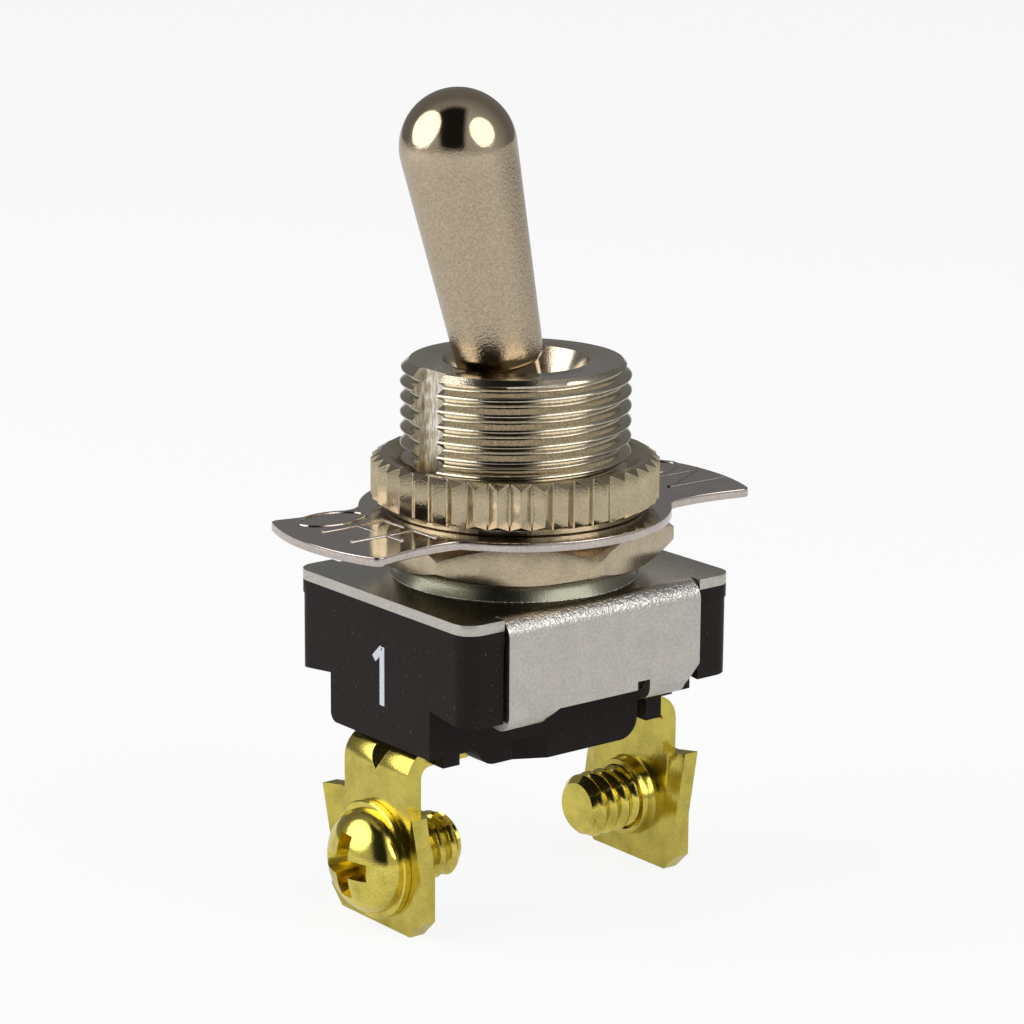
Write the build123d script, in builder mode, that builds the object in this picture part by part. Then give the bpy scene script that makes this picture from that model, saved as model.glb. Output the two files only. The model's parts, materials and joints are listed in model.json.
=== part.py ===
from build123d import *
import os
from math import acos, cos, degrees, pi, radians, sin, sqrt, tan

# Panel toggle switch, single pole on-off, with screw terminals. Millimetres.
# The origin is on the axis of the threaded bushing, level with the top face of the steel frame.
# +Z runs up the bushing. -X is the OFF end, where the lever leans at rest, and +X the ON end.

os.makedirs("parts", exist_ok=True)

# Threaded bushing, 15/32 in, 32 threads to the inch. The free length has the thread's grooves, as
# level rings. Where the nuts sit, both threads are drawn plain, at the line where they meet.
thread_r = 5.95
thread_meeting_depth = 0.26
thread_pitch = 25.4 / 32
thread_depth = 0.45
thread_crest = 0.16
thread_root = 0.12
free_thread_gap = 0.1
bushing_top = 11.15
bushing_chamfer = 0.45
mouth_r = 3.75
seat_depth = 1.4
bore_bottom_r = 4.1
bore_taper_start = 0.6
keyway_width = 2.0
keyway_depth = 0.75
spigot_wall = 0.9
stake_rim = 0.35
stake_thickness = 0.5

# Lever, turned in one piece: a bat with a domed end, a neck, a ball and a hollow tail.
pivot_z = 7.0
lean = 13.8
dome_r = 2.96
dome_reach = 15.8
foot_r = 2.25
foot_reach = 4.25
foot_round = 0.3
neck_r = 1.95
ball_r = 3.0
ball_clearance = 0.06
tail_r = 1.9
tail_reach = 8.0
plunger_bore_r = 1.2
plunger_bore_depth = 4.8
pin_r = 0.8
pin_half = 4.2
pin_clearance = 0.05

# Spring plunger in the tail, and its coil spring.
plunger_clearance = 0.05
plunger_reach = 10.0
plunger_length = 3.6
spring_wire = 0.34
spring_turns = 5
spring_wire_sides = 8
spring_side_clearance = 0.06
spring_end_gap = 0.05

# Folded steel frame.
sheet = 0.55
frame_overhang = 0.06
boss_r = 6.45
boss_height = 0.95
boss_draft = 20
flap_inset = 2.45
flap_side_gap = 0.12
flap_bend_r = 1.0
flap_drop = 5.1
relief_width = 0.12
crimp_r = 0.8
crimp_reach = 1.1
crimp_left_width = 2.45
crimp_right_width = 2.4
crimp_slope = 0.8
notch_width = 0.8
notch_height = 0.45
corner_cut = 0.95

# Moulded base.
base_length = 17.4
base_width = 14.02
base_shoulder = 0.24
base_corner_r = 1.0
lip_height = 0.7
skirt_depth = 5.34
skirt_slope = 6.5
lower_width = 8.5
lower_depth = 7.62
lower_overlap = 1.0
lower_edge_r = 0.5
far_end_inset = 0.2
far_end_depth = 6.95
far_pad_half = 2.85
block_depth = 8.92
block_start = -1.1
block_foot_gap = 0.2
block_round = 1.1
rib_start = -5.0
rib_width = 6.8
rib_shoulder = 1.65
floor_thickness = 1.32
cavity_end_wall = 1.2
cavity_half_width = 3.0
cavity_corner_r = 0.8
recess_wall = 0.9
guide_inset = 2.0
guide_length = 1.05
guide_width = 0.7
guide_drop = 0.9
guide_gap = 0.05

# Fibre sheet between the frame and the mechanism.
insulator_thickness = 0.4
insulator_gap = 0.1
insulator_slot_length = 10.4
insulator_slot_width = 6.4

# Brass terminals, bent from strip.
strip = 0.9
terminal_stand_off = 0.25
terminal_bend_r = 1.5
foot_past_rivet = 1.12
neck_half = 2.7
shoulder_z = -10.75
plate_half = 3.9
plate_bottom = -17.35
plate_corner = 0.95
ear_height = 3.4
ear_flare = 0.55
ear_width = 0.9
dart_width = 1.5
dart_depth = 0.45
dart_length = 2.3
collar_r = 2.2
collar_height = 0.75

# Terminal screws, number 6. The thread is left out: the cylinder is the thread's crest.
screw_z = -13.9
screw_r = 1.75
screw_fit = 0.04
screw_length = 4.5
screw_tip_chamfer = 0.4
screw_seat_gap = 0.03
flange_r = 3.1
flange_thickness = 0.45
head_r = 2.75
head_height = 1.75
recess_length = 3.5
recess_width = 0.95
recess_depth = 1.35
recess_taper = 9

# Nuts and indicator plate on the bushing.
nut_fit = 0.04
plate_bore_clearance = 0.1
stack_gap = 0.02
hex_thickness = 2.05
hex_flats = 14.29
hex_turn = 23.1
hex_chamfer_r = 7.05
chamfer_angle = 30
plate_thickness = 0.47
plate_disc_r = 8.1
plate_reach = 13.1
tab_corner_x = 12.05
tab_corner_y = 4.7
tab_waist_x = 9.2
tab_waist_y = 4.2
tab_root_x = 6.4
tab_root_y = 4.3
tab_root_r = 1.2
tab_corner_r = 0.45
plate_key_clearance = 0.15
knurl_thickness = 2.4
knurl_r = 7.45
knurl_depth = 0.45
knurl_teeth = 40
seat_ring_r = 6.75
seat_ring_height = 0.33
countersink = 0.8

# Rocking contact, its cradle, the contacts and the rivets.
fulcrum_z = -4.6
trunnion_r = 0.4
trunnion_half = 2.6
trunnion_clearance = 0.06
rocker_tilt = 8
arm_rise = 10
arm_thickness = 0.5
arm_half_width = 1.7
arm_past_contact = 0.9
arm_on_length = 4.6
cradle_plate = 0.6
cradle_wall = 0.5
cradle_inner = 1.85
cradle_half_length = 1.6
cradle_rim = 0.45
cradle_strap_half = 1.6
contact_inset = 2.5
contact_r = 1.1
contact_gap = 0.1
moving_contact_height = 0.5
moving_shank_r = 0.5
moving_head_height = 0.25
rivet_r = 0.75
rivet_head_r = 1.05
rivet_head_height = 0.5

# Places worked out from the sizes above.
frame_under = -sheet
boss_under = boss_height - sheet
thread_pitch_r = thread_r - thread_meeting_depth
seat_r = ball_r + ball_clearance
throat_r = sqrt(seat_r**2 - seat_depth**2)
spigot_r = bore_bottom_r + spigot_wall
spigot_bottom = boss_under - stake_thickness
hex_bottom = boss_height
hex_top = hex_bottom + hex_thickness
plate_bottom_z = hex_top + stack_gap
plate_top_z = plate_bottom_z + plate_thickness
knurl_bottom = plate_top_z + stack_gap + seat_ring_height
knurl_top = knurl_bottom + knurl_thickness
nut_bore_r = thread_pitch_r + nut_fit
free_thread_start = knurl_top + free_thread_gap
base_end = base_length / 2
base_half_width = base_width / 2
flap_outer = base_half_width + sheet
flap_half = base_end - flap_inset
shoulder_half_width = base_half_width + base_shoulder
frame_length = base_length + 2 * frame_overhang
frame_width = 2 * (shoulder_half_width + frame_overhang)
cavity_half_length = base_end - cavity_end_wall
guide_x = base_end - guide_inset
contact_x = base_end - contact_inset
foot_end = contact_x - foot_past_rivet
block_end = foot_end - block_foot_gap
terminal_face = base_end + terminal_stand_off
screw_tip = terminal_face - screw_length
floor_top = -lower_depth + floor_thickness
insulator_top = frame_under
insulator_bottom = insulator_top - insulator_thickness
foot_top = -lower_depth
foot_bottom = foot_top - strip
inner_face = terminal_face - strip

# The lever's own plane: its first axis is the lever's radius and its second runs up the lever.
lever_plane = Plane(
    origin=(0, 0, pivot_z),
    x_dir=(cos(radians(lean)), 0, sin(radians(lean))),
    z_dir=(0, -1, 0),
)
lever_line = Axis((0, 0, pivot_z), (-sin(radians(lean)), 0, cos(radians(lean))))

# The rocker's own plane: its first axis runs along the rocker, whose ON end is down at rest.
rocker_plane = Plane(
    origin=(0, 0, fulcrum_z),
    x_dir=(cos(radians(rocker_tilt)), 0, -sin(radians(rocker_tilt))),
    z_dir=(0, -1, 0),
)


def ring_envelope(radius, bottom, top, face_r):
    """A turned disc whose two outer edges are chamfered from face_r out to radius."""
    drop = (radius - face_r) * tan(radians(chamfer_angle))
    with BuildPart() as envelope:
        with BuildSketch(Plane.XZ):
            with BuildLine():
                Polyline(
                    (0, bottom),
                    (face_r, bottom),
                    (radius, bottom + drop),
                    (radius, top - drop),
                    (face_r, top),
                    (0, top),
                    close=True,
                )
            make_face()
        revolve(axis=Axis.Z)
    return envelope.part


# Bushing: one turned piece, staked into the frame, with a seat for the lever's ball,
# two slots from below for the pivot pin, and a keyway down its OFF side. The thread's grooves
# are spread evenly over its free length, and each is drawn a little past the crest.
free_thread = bushing_top - bushing_chamfer - free_thread_start
groove_count = int(free_thread / thread_pitch)
first_groove = free_thread_start + (free_thread - (groove_count - 1) * thread_pitch) / 2
groove_run_out = 0.05
groove_flank = (thread_pitch - thread_crest - thread_root) / 2 / thread_depth
groove_mouth = thread_root + 2 * groove_flank * (thread_depth + groove_run_out)
with BuildPart() as bushing:
    with BuildSketch(Plane.XZ):
        with BuildLine():
            throat_z = pivot_z + seat_depth
            CenterArc((0, pivot_z), seat_r, 0, degrees(acos(throat_r / seat_r)))
            Polyline(
                (throat_r, throat_z),
                (mouth_r, bushing_top),
                (thread_r - bushing_chamfer, bushing_top),
                (thread_r, bushing_top - bushing_chamfer),
                (thread_r, free_thread_start),
                (thread_pitch_r, free_thread_start),
                (thread_pitch_r, boss_height),
                (spigot_r, boss_height),
                (spigot_r, boss_under),
                (spigot_r + stake_rim, boss_under),
                (spigot_r + stake_rim, spigot_bottom),
                (bore_bottom_r, spigot_bottom),
                (seat_r, pivot_z - bore_taper_start),
                (seat_r, pivot_z),
            )
        make_face()
    revolve(axis=Axis.Z)
    with BuildSketch(Plane.XZ):
        for ring in range(groove_count):
            with Locations((thread_r, first_groove + ring * thread_pitch)):
                Polygon(
                    (groove_run_out, -groove_mouth / 2),
                    (groove_run_out, groove_mouth / 2),
                    (-thread_depth, thread_root / 2),
                    (-thread_depth, -thread_root / 2),
                    align=None,
                )
    revolve(axis=Axis.Z, mode=Mode.SUBTRACT)
    slot_r = pin_r + pin_clearance
    slot_half = pin_half + pin_clearance
    with Locations((0, 0, pivot_z)):
        Cylinder(slot_r, 2 * slot_half, rotation=(90, 0, 0), mode=Mode.SUBTRACT)
    with Locations((0, 0, pivot_z)):
        Box(
            2 * slot_r,
            2 * slot_half,
            pivot_z - spigot_bottom,
            align=(Align.CENTER, Align.CENTER, Align.MAX),
            mode=Mode.SUBTRACT,
        )
    with Locations((-thread_r, 0, boss_height)):
        Box(
            2 * keyway_depth,
            keyway_width,
            bushing_top - boss_height,
            align=(Align.CENTER, Align.CENTER, Align.MIN),
            mode=Mode.SUBTRACT,
        )
bushing.part.label = "bushing"
export_step(bushing.part, "parts/bushing.step")

# Lever, leaning to the OFF end.
with BuildPart() as lever:
    with BuildSketch(lever_plane):
        with BuildLine():
            tail_join = sqrt(ball_r**2 - tail_r**2)
            neck_join = sqrt(ball_r**2 - neck_r**2)
            tail_angle = degrees(acos(tail_r / ball_r))
            neck_angle = degrees(acos(neck_r / ball_r))
            bore_end = plunger_bore_depth - tail_reach
            CenterArc((0, dome_reach), dome_r, 0, 90)
            Polyline(
                (dome_r, dome_reach),
                (foot_r, foot_reach + foot_round),
                (foot_r - foot_round / 2, foot_reach),
                (neck_r, foot_reach),
                (neck_r, neck_join),
            )
            CenterArc((0, 0), ball_r, -tail_angle, tail_angle + neck_angle)
            Polyline(
                (tail_r, -tail_join),
                (tail_r, -tail_reach),
                (plunger_bore_r, -tail_reach),
                (plunger_bore_r, bore_end),
                (0, bore_end),
                (0, dome_reach + dome_r),
            )
        make_face()
    revolve(axis=lever_line)
    with Locations((0, 0, pivot_z)):
        Cylinder(pin_r, 2 * ball_r, rotation=(90, 0, 0), mode=Mode.SUBTRACT)
lever.part.label = "lever"
export_step(lever.part, "parts/lever.step")

# Pivot pin, pressed through the ball. Its ends turn in the bushing's slots.
with BuildPart() as pivot_pin:
    with Locations((0, 0, pivot_z)):
        Cylinder(pin_r, 2 * pin_half, rotation=(90, 0, 0))
    chamfer(pivot_pin.edges().filter_by(GeomType.CIRCLE), length=pin_r / 5)
pivot_pin.part.label = "pivot_pin"
export_step(pivot_pin.part, "parts/pivot_pin.step")

# Plunger: a pin with a round tip that slides in the tail and presses on the rocker.
plunger_r = plunger_bore_r - plunger_clearance
plunger_top = plunger_length - plunger_reach
with BuildPart() as plunger:
    with BuildSketch(lever_plane):
        with BuildLine():
            CenterArc((0, -plunger_reach), plunger_r, -90, 90)
            Polyline(
                (plunger_r, -plunger_reach),
                (plunger_r, plunger_top),
                (0, plunger_top),
                (0, -plunger_reach - plunger_r),
            )
        make_face()
    revolve(axis=lever_line)
plunger.part.label = "plunger"
export_step(plunger.part, "parts/plunger.step")

# Coil spring between the plunger and the end of the tail's bore. Its wire has a few flat sides,
# to keep the mesh light.
spring_r = plunger_bore_r - spring_side_clearance - spring_wire / 2
spring_start = plunger_top + spring_end_gap + spring_wire / 2
spring_end = bore_end - spring_end_gap - spring_wire / 2
spring_height = spring_end - spring_start
with BuildPart() as contact_spring:
    with BuildLine():
        coil = Helix(
            pitch=spring_height / spring_turns,
            height=spring_height,
            radius=spring_r,
            center=tuple(lever_plane.from_local_coords((0, spring_start, 0))),
            direction=tuple(lever_line.direction),
        )
    with BuildSketch(Plane(origin=coil @ 0, z_dir=coil % 0)):
        RegularPolygon(spring_wire / 2, spring_wire_sides)
    sweep(path=coil, is_frenet=True)
contact_spring.part.label = "contact_spring"
export_step(contact_spring.part, "parts/contact_spring.step")

# Hex nut under the indicator plate.
hex_corner_r = hex_flats / 2 / cos(pi / 6)
with BuildPart() as hex_nut:
    with BuildSketch(Plane.XY.offset(hex_bottom)):
        RegularPolygon(hex_corner_r, 6, rotation=hex_turn)
        Circle(nut_bore_r, mode=Mode.SUBTRACT)
    extrude(amount=hex_thickness)
    add(ring_envelope(hex_corner_r, hex_bottom, hex_top, hex_chamfer_r), mode=Mode.INTERSECT)
hex_nut.part.label = "hex_nut"
export_step(hex_nut.part, "parts/hex_nut.step")

# Indicator plate: a thin disc with two flared tabs and a key that sits in the keyway.
with BuildPart() as indicator_plate:
    with BuildSketch(Plane.XY.offset(plate_bottom_z)) as plate_outline:
        Circle(plate_disc_r)
        with BuildLine():
            flank = ThreePointArc(
                (tab_root_x, tab_root_y),
                (tab_waist_x, tab_waist_y),
                (tab_corner_x, tab_corner_y),
            )
            ThreePointArc(flank @ 1, (plate_reach, 0), (tab_corner_x, -tab_corner_y))
            ThreePointArc(
                (tab_corner_x, -tab_corner_y),
                (tab_waist_x, -tab_waist_y),
                (tab_root_x, -tab_root_y),
            )
            Line((tab_root_x, -tab_root_y), flank @ 0)
        make_face()
        mirror(about=Plane.YZ)
        corners = plate_outline.vertices().filter_by(lambda v: abs(v.X) > tab_waist_x)
        fillet(corners, radius=tab_corner_r)
        roots = plate_outline.vertices().filter_by(
            lambda v: abs(v.X) < tab_waist_x and abs(v.Y) > tab_root_y / 2
        )
        fillet(roots, radius=tab_root_r)
        Circle(thread_r + plate_bore_clearance, mode=Mode.SUBTRACT)
        with Locations((-thread_r, 0)):
            Rectangle(
                2 * (keyway_depth - plate_key_clearance),
                keyway_width - 2 * plate_key_clearance,
            )
    extrude(amount=plate_thickness)
indicator_plate.part.label = "indicator_plate"
export_step(indicator_plate.part, "parts/indicator_plate.step")

# Knurled ring nut: straight V-shaped teeth, both faces chamfered, on a narrow seating ring.
tooth_angle = pi / knurl_teeth
with BuildPart() as knurled_nut:
    with BuildSketch(Plane.XY.offset(knurl_bottom)):
        with BuildLine():
            Polyline(
                *[
                    (
                        (knurl_r - knurl_depth * (step % 2)) * cos(step * tooth_angle),
                        (knurl_r - knurl_depth * (step % 2)) * sin(step * tooth_angle),
                    )
                    for step in range(2 * knurl_teeth)
                ],
                close=True,
            )
        make_face()
    extrude(amount=knurl_thickness)
    face_r = knurl_r - knurl_depth
    add(ring_envelope(knurl_r, knurl_bottom, knurl_top, face_r), mode=Mode.INTERSECT)
    with BuildSketch(Plane.XY.offset(knurl_bottom)):
        Circle(seat_ring_r)
    extrude(amount=-seat_ring_height)
    with Locations((0, 0, knurl_top)):
        CounterSinkHole(nut_bore_r, nut_bore_r + countersink, counter_sink_angle=90)
knurled_nut.part.label = "knurled_nut"
export_step(knurled_nut.part, "parts/knurled_nut.step")

# One side flap of the frame: bent down from the top plate, with two tabs crimped in under the base.
skirt_tilt = radians(skirt_slope)
crimp_inner_r = crimp_r - sheet
crimp_centre_y = flap_outer - crimp_r
crimp_centre_z = -skirt_depth + crimp_inner_r * (1 + sin(skirt_tilt)) / cos(skirt_tilt)
fold_y = flap_outer - flap_bend_r
bend_inner_r = flap_bend_r - sheet
crimp_bottom = crimp_centre_z - 2 * crimp_r
crimp_left_end = crimp_left_width - flap_half
crimp_right_end = flap_half - corner_cut
crimp_right_start = crimp_right_end - crimp_right_width


def tab_point(radius, reach):
    """A point of the crimped tab, which lies along the skirt's sloping underside."""
    return (
        crimp_centre_y - radius * sin(skirt_tilt) - reach * cos(skirt_tilt),
        crimp_centre_z - radius * cos(skirt_tilt) + reach * sin(skirt_tilt),
    )


with BuildPart() as flap:
    with BuildSketch(Plane.YZ):
        with BuildLine():
            Line((fold_y - sheet, 0), (fold_y, 0))
            CenterArc((fold_y, -flap_bend_r), flap_bend_r, 0, 90)
            Line((flap_outer, -flap_bend_r), (flap_outer, crimp_centre_z))
            crimp_turn = 90 + skirt_slope
            CenterArc((crimp_centre_y, crimp_centre_z), crimp_r, -crimp_turn, crimp_turn)
            Polyline(
                tab_point(crimp_r, 0),
                tab_point(crimp_r, crimp_reach),
                tab_point(crimp_inner_r, crimp_reach),
                tab_point(crimp_inner_r, 0),
            )
            CenterArc((crimp_centre_y, crimp_centre_z), crimp_inner_r, -crimp_turn, crimp_turn)
            Line((base_half_width, crimp_centre_z), (base_half_width, -flap_bend_r))
            CenterArc((fold_y, -flap_bend_r), bend_inner_r, 0, 90)
            Polyline((fold_y, frame_under), (fold_y - sheet, frame_under), (fold_y - sheet, 0))
        make_face()
    extrude(amount=flap_half, both=True)
    with BuildSketch(Plane.XZ):
        with BuildLine():
            Polyline(
                (-crimp_left_end, crimp_bottom),
                (-crimp_left_end, -flap_drop - crimp_slope / 2),
                (-crimp_left_end - crimp_slope, -flap_drop),
                (-crimp_right_start + notch_width, -flap_drop),
                (-crimp_right_start + notch_width, -flap_drop + notch_height),
                (-crimp_right_start, -flap_drop + notch_height),
                (-crimp_right_start, crimp_bottom),
                close=True,
            )
        make_face()
        with BuildLine():
            Polyline(
                (-crimp_right_end, crimp_bottom),
                (-crimp_right_end, -skirt_depth),
                (-crimp_right_end - corner_cut, -skirt_depth + corner_cut),
                (-crimp_right_end - 2 * corner_cut, crimp_bottom),
                close=True,
            )
        make_face()
    extrude(amount=-2 * flap_outer, mode=Mode.SUBTRACT)

# Frame: one folded sheet, with a drawn boss round the bushing and a flap on each long side.
with BuildPart() as frame:
    with BuildSketch(Plane.XY.offset(frame_under)):
        RectangleRounded(frame_length, frame_width, base_corner_r + frame_overhang)
        Rectangle(2 * (flap_half + relief_width), frame_width, mode=Mode.SUBTRACT)
        Rectangle(2 * (flap_half + relief_width), 2 * fold_y)
    extrude(amount=sheet)
    with BuildSketch():
        Circle(boss_r)
    extrude(amount=boss_height, taper=boss_draft)
    with BuildSketch(Plane.XY.offset(frame_under)):
        Circle(boss_r - sheet)
    extrude(amount=boss_height, taper=boss_draft, mode=Mode.SUBTRACT)
    with BuildSketch(Plane.XY.offset(boss_under)):
        Circle(spigot_r)
    extrude(amount=sheet, mode=Mode.SUBTRACT)
    add(flap.part)
    add(flap.part.rotate(Axis.Z, 180))
frame.part.label = "frame"
export_step(frame.part, "parts/frame.step")

# Base: one phenolic moulding. A wide upper part under the frame, with a lip round its top, a
# channel down each side for the frame's flap, and an underside that slopes down to its outer edge.
# Below are a narrower part with a deeper block between the two terminals, a rib that widens into
# that block, and guides beside the terminals' feet. The cavity is open at the top.
lower_length = base_length - far_end_inset
lower_half_width = lower_width / 2
lower_top = -skirt_depth + lower_overlap
guide_y = neck_half + guide_gap + guide_width / 2
outside_y = shoulder_half_width + lower_overlap
skirt_rise = tan(skirt_tilt)
with BuildPart() as base:
    for margin, bottom in ((frame_overhang, frame_under - lip_height), (0, lower_top)):
        with BuildSketch(Plane.XY.offset(frame_under)):
            RectangleRounded(
                base_length + 2 * margin,
                2 * (shoulder_half_width + margin),
                base_corner_r + margin,
            )
        extrude(amount=bottom - frame_under)
    with BuildSketch(Plane.XY.offset(lower_top)):
        RectangleRounded(base_length, 2 * shoulder_half_width, base_corner_r)
    extrude(amount=-lower_overlap - base_shoulder * skirt_rise)
    for side in (-1, 1):
        with BuildSketch(Plane.YZ):
            Polygon(
                (side * lower_half_width, (base_half_width - lower_half_width) * skirt_rise - skirt_depth),
                (side * outside_y, (base_half_width - outside_y) * skirt_rise - skirt_depth),
                (side * outside_y, -lower_depth),
                (side * lower_half_width, -lower_depth),
                align=None,
            )
        extrude(amount=base_length, both=True, mode=Mode.SUBTRACT)
        with BuildSketch(Plane.YZ):
            channel_foot_y, channel_foot_z = tab_point(crimp_inner_r, 0)
            Polygon(
                (side * (base_half_width - bend_inner_r), frame_under),
                (side * base_half_width, frame_under - bend_inner_r),
                (side * base_half_width, crimp_centre_z),
                (side * channel_foot_y, channel_foot_z),
                (side * channel_foot_y, -lower_depth),
                (side * outside_y, -lower_depth),
                (side * outside_y, frame_under),
                align=None,
            )
        extrude(amount=flap_half + flap_side_gap, both=True, mode=Mode.SUBTRACT)
    with BuildSketch(Plane.YZ.offset(-base_length / 2)) as lower_section:
        with Locations((0, lower_top)):
            Rectangle(lower_width, lower_depth + lower_top, align=(Align.CENTER, Align.MAX))
        round_corner = lower_section.vertices().sort_by(Axis.Y)[:2].sort_by(Axis.X)[-1]
        fillet(round_corner, radius=lower_edge_r)
    extrude(amount=lower_length)
    for side in (-1, 1):
        with Locations((block_end, side * lower_half_width, -far_end_depth)):
            Box(
                lower_length,
                lower_width - 2 * far_pad_half,
                lower_depth,
                align=(Align.MIN, Align.CENTER, Align.MAX),
                mode=Mode.SUBTRACT,
            )
    for start, width, rounded in (
        (rib_start, rib_width, 2),
        (block_start, lower_width, 1),
    ):
        with BuildSketch(Plane.XZ) as block_section:
            with Locations((start, lower_top)):
                Rectangle(block_end - start, block_depth + lower_top, align=(Align.MIN, Align.MAX))
            low_corners = block_section.vertices().sort_by(Axis.Y)[:2].sort_by(Axis.X)
            fillet(low_corners[-rounded:], radius=block_round)
        extrude(amount=width / 2, both=True)
    with BuildSketch(Plane.XY.offset(-block_depth)):
        Polygon(
            (block_start - rib_shoulder, -rib_width / 2),
            (block_start, -lower_half_width),
            (block_start, lower_half_width),
            (block_start - rib_shoulder, rib_width / 2),
            align=None,
        )
    extrude(amount=block_depth - lower_depth)
    with Locations(*[
        (end * guide_x, side * guide_y, -lower_depth - guide_drop)
        for end in (-1, 1)
        for side in (-1, 1)
    ]):
        Box(
            guide_length,
            guide_width,
            guide_drop + lower_depth - far_end_depth,
            align=(Align.CENTER, Align.CENTER, Align.MIN),
        )
    with BuildSketch(Plane.XY.offset(floor_top)):
        RectangleRounded(2 * cavity_half_length, 2 * cavity_half_width, cavity_corner_r)
    extrude(amount=-floor_top, mode=Mode.SUBTRACT)
    with BuildSketch(Plane.XY.offset(insulator_bottom)):
        RectangleRounded(
            base_length - 2 * recess_wall,
            2 * (base_half_width - recess_wall),
            cavity_corner_r,
        )
    extrude(amount=insulator_thickness, mode=Mode.SUBTRACT)
    with Locations((-contact_x, 0, floor_top), (contact_x, 0, floor_top)):
        Cylinder(rivet_r, 2 * lower_depth, mode=Mode.SUBTRACT)
base.part.label = "base"
export_step(base.part, "parts/base.step")

# Insulator: a fibre sheet in the base's recess, with a slot that the lever's tail swings in.
with BuildPart() as insulator:
    with BuildSketch(Plane.XY.offset(insulator_bottom)):
        RectangleRounded(
            base_length - 2 * (recess_wall + insulator_gap),
            2 * (base_half_width - recess_wall - insulator_gap),
            cavity_corner_r,
        )
        SlotOverall(insulator_slot_length, insulator_slot_width, mode=Mode.SUBTRACT)
    extrude(amount=insulator_thickness)
insulator.part.label = "insulator"
export_step(insulator.part, "parts/insulator.step")

# Cradle: a folded brass bracket that carries the rocker's trunnions and the ON end's current.
cradle_outer = cradle_inner + cradle_wall
notch_r = trunnion_r + trunnion_clearance
strap_end = contact_x + rivet_head_r
with BuildPart() as cradle:
    with BuildSketch(Plane.XY.offset(floor_top)):
        Rectangle(2 * cradle_half_length, 2 * cradle_outer)
        Rectangle(strap_end, 2 * cradle_strap_half, align=(Align.MIN, Align.CENTER))
    extrude(amount=cradle_plate)
    with BuildSketch(Plane.XZ):
        with Locations((0, floor_top)):
            Rectangle(
                2 * cradle_half_length,
                fulcrum_z + cradle_rim - floor_top,
                align=(Align.CENTER, Align.MIN),
            )
        with Locations((0, fulcrum_z)):
            Circle(notch_r, mode=Mode.SUBTRACT)
            Rectangle(
                2 * notch_r,
                2 * cradle_rim,
                align=(Align.CENTER, Align.MIN),
                mode=Mode.SUBTRACT,
            )
    extrude(amount=cradle_outer, both=True)
    with Locations((0, 0, floor_top + cradle_plate)):
        Box(
            2 * cradle_half_length,
            2 * cradle_inner,
            cradle_plate - floor_top,
            align=(Align.CENTER, Align.CENTER, Align.MIN),
            mode=Mode.SUBTRACT,
        )
    with Locations((contact_x, 0, floor_top)):
        Cylinder(rivet_r, 2 * cradle_plate, mode=Mode.SUBTRACT)
cradle.part.label = "cradle"
export_step(cradle.part, "parts/cradle.step")

# Rocker: a brass strip bent to a shallow V on a round trunnion, with its ON arm down at rest.
arm_angle = radians(arm_rise)
arm_off_length = contact_x + arm_past_contact
moving_contact_plane = Plane(
    origin=rocker_plane.from_local_coords(
        (-contact_x * cos(arm_angle), contact_x * sin(arm_angle), 0)
    ),
    x_dir=(0, 1, 0),
    z_dir=rocker_plane.from_local_coords((sin(arm_angle), cos(arm_angle), 0))
    - rocker_plane.origin,
)
with BuildPart() as rocker:
    with BuildSketch(rocker_plane):
        with BuildLine():
            Polyline(
                (-arm_off_length * cos(arm_angle), arm_off_length * sin(arm_angle)),
                (0, 0),
                (arm_on_length * cos(arm_angle), arm_on_length * sin(arm_angle)),
            )
        trace(line_width=arm_thickness)
    extrude(amount=arm_half_width, both=True)
    with BuildSketch(rocker_plane):
        Circle(trunnion_r)
    extrude(amount=trunnion_half, both=True)
    with Locations(moving_contact_plane):
        Cylinder(moving_shank_r, 2 * arm_thickness, mode=Mode.SUBTRACT)
rocker.part.label = "rocker"
export_step(rocker.part, "parts/rocker.step")

# Moving contact: a silver button riveted through the rocker's OFF arm.
with BuildPart() as moving_contact:
    with Locations(moving_contact_plane.offset(-arm_thickness / 2)):
        Cylinder(
            contact_r,
            moving_contact_height,
            align=(Align.CENTER, Align.CENTER, Align.MAX),
        )
        Cylinder(moving_shank_r, arm_thickness, align=(Align.CENTER, Align.CENTER, Align.MIN))
    with Locations(moving_contact_plane.offset(arm_thickness / 2)):
        Cylinder(
            2 * moving_shank_r,
            moving_head_height,
            align=(Align.CENTER, Align.CENTER, Align.MIN),
        )
moving_contact.part.label = "moving_contact"
export_step(moving_contact.part, "parts/moving_contact.step")

# Fixed contact: a silver-faced rivet through the base's floor and the OFF terminal's foot.
# Its top is what the moving contact meets when the rocker has tilted to the ON position.
closed_rise = radians(arm_rise - rocker_tilt)
arm_to_face = arm_thickness / 2 + moving_contact_height
closed_face_z = fulcrum_z + contact_x * sin(closed_rise) - arm_to_face * cos(closed_rise)
fixed_contact_top = closed_face_z - contact_r * sin(closed_rise) - contact_gap
with BuildPart() as fixed_contact:
    with Locations((-contact_x, 0, floor_top)):
        Cylinder(
            contact_r,
            fixed_contact_top - floor_top,
            align=(Align.CENTER, Align.CENTER, Align.MIN),
        )
        Cylinder(
            rivet_r,
            floor_top - foot_bottom,
            align=(Align.CENTER, Align.CENTER, Align.MAX),
        )
    with Locations((-contact_x, 0, foot_bottom)):
        Cylinder(
            rivet_head_r,
            rivet_head_height,
            align=(Align.CENTER, Align.CENTER, Align.MAX),
        )
    fillet(fixed_contact.edges().sort_by(Axis.Z)[0], radius=rivet_head_height / 2)
fixed_contact.part.label = "fixed_contact"
export_step(fixed_contact.part, "parts/fixed_contact.step")

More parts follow.
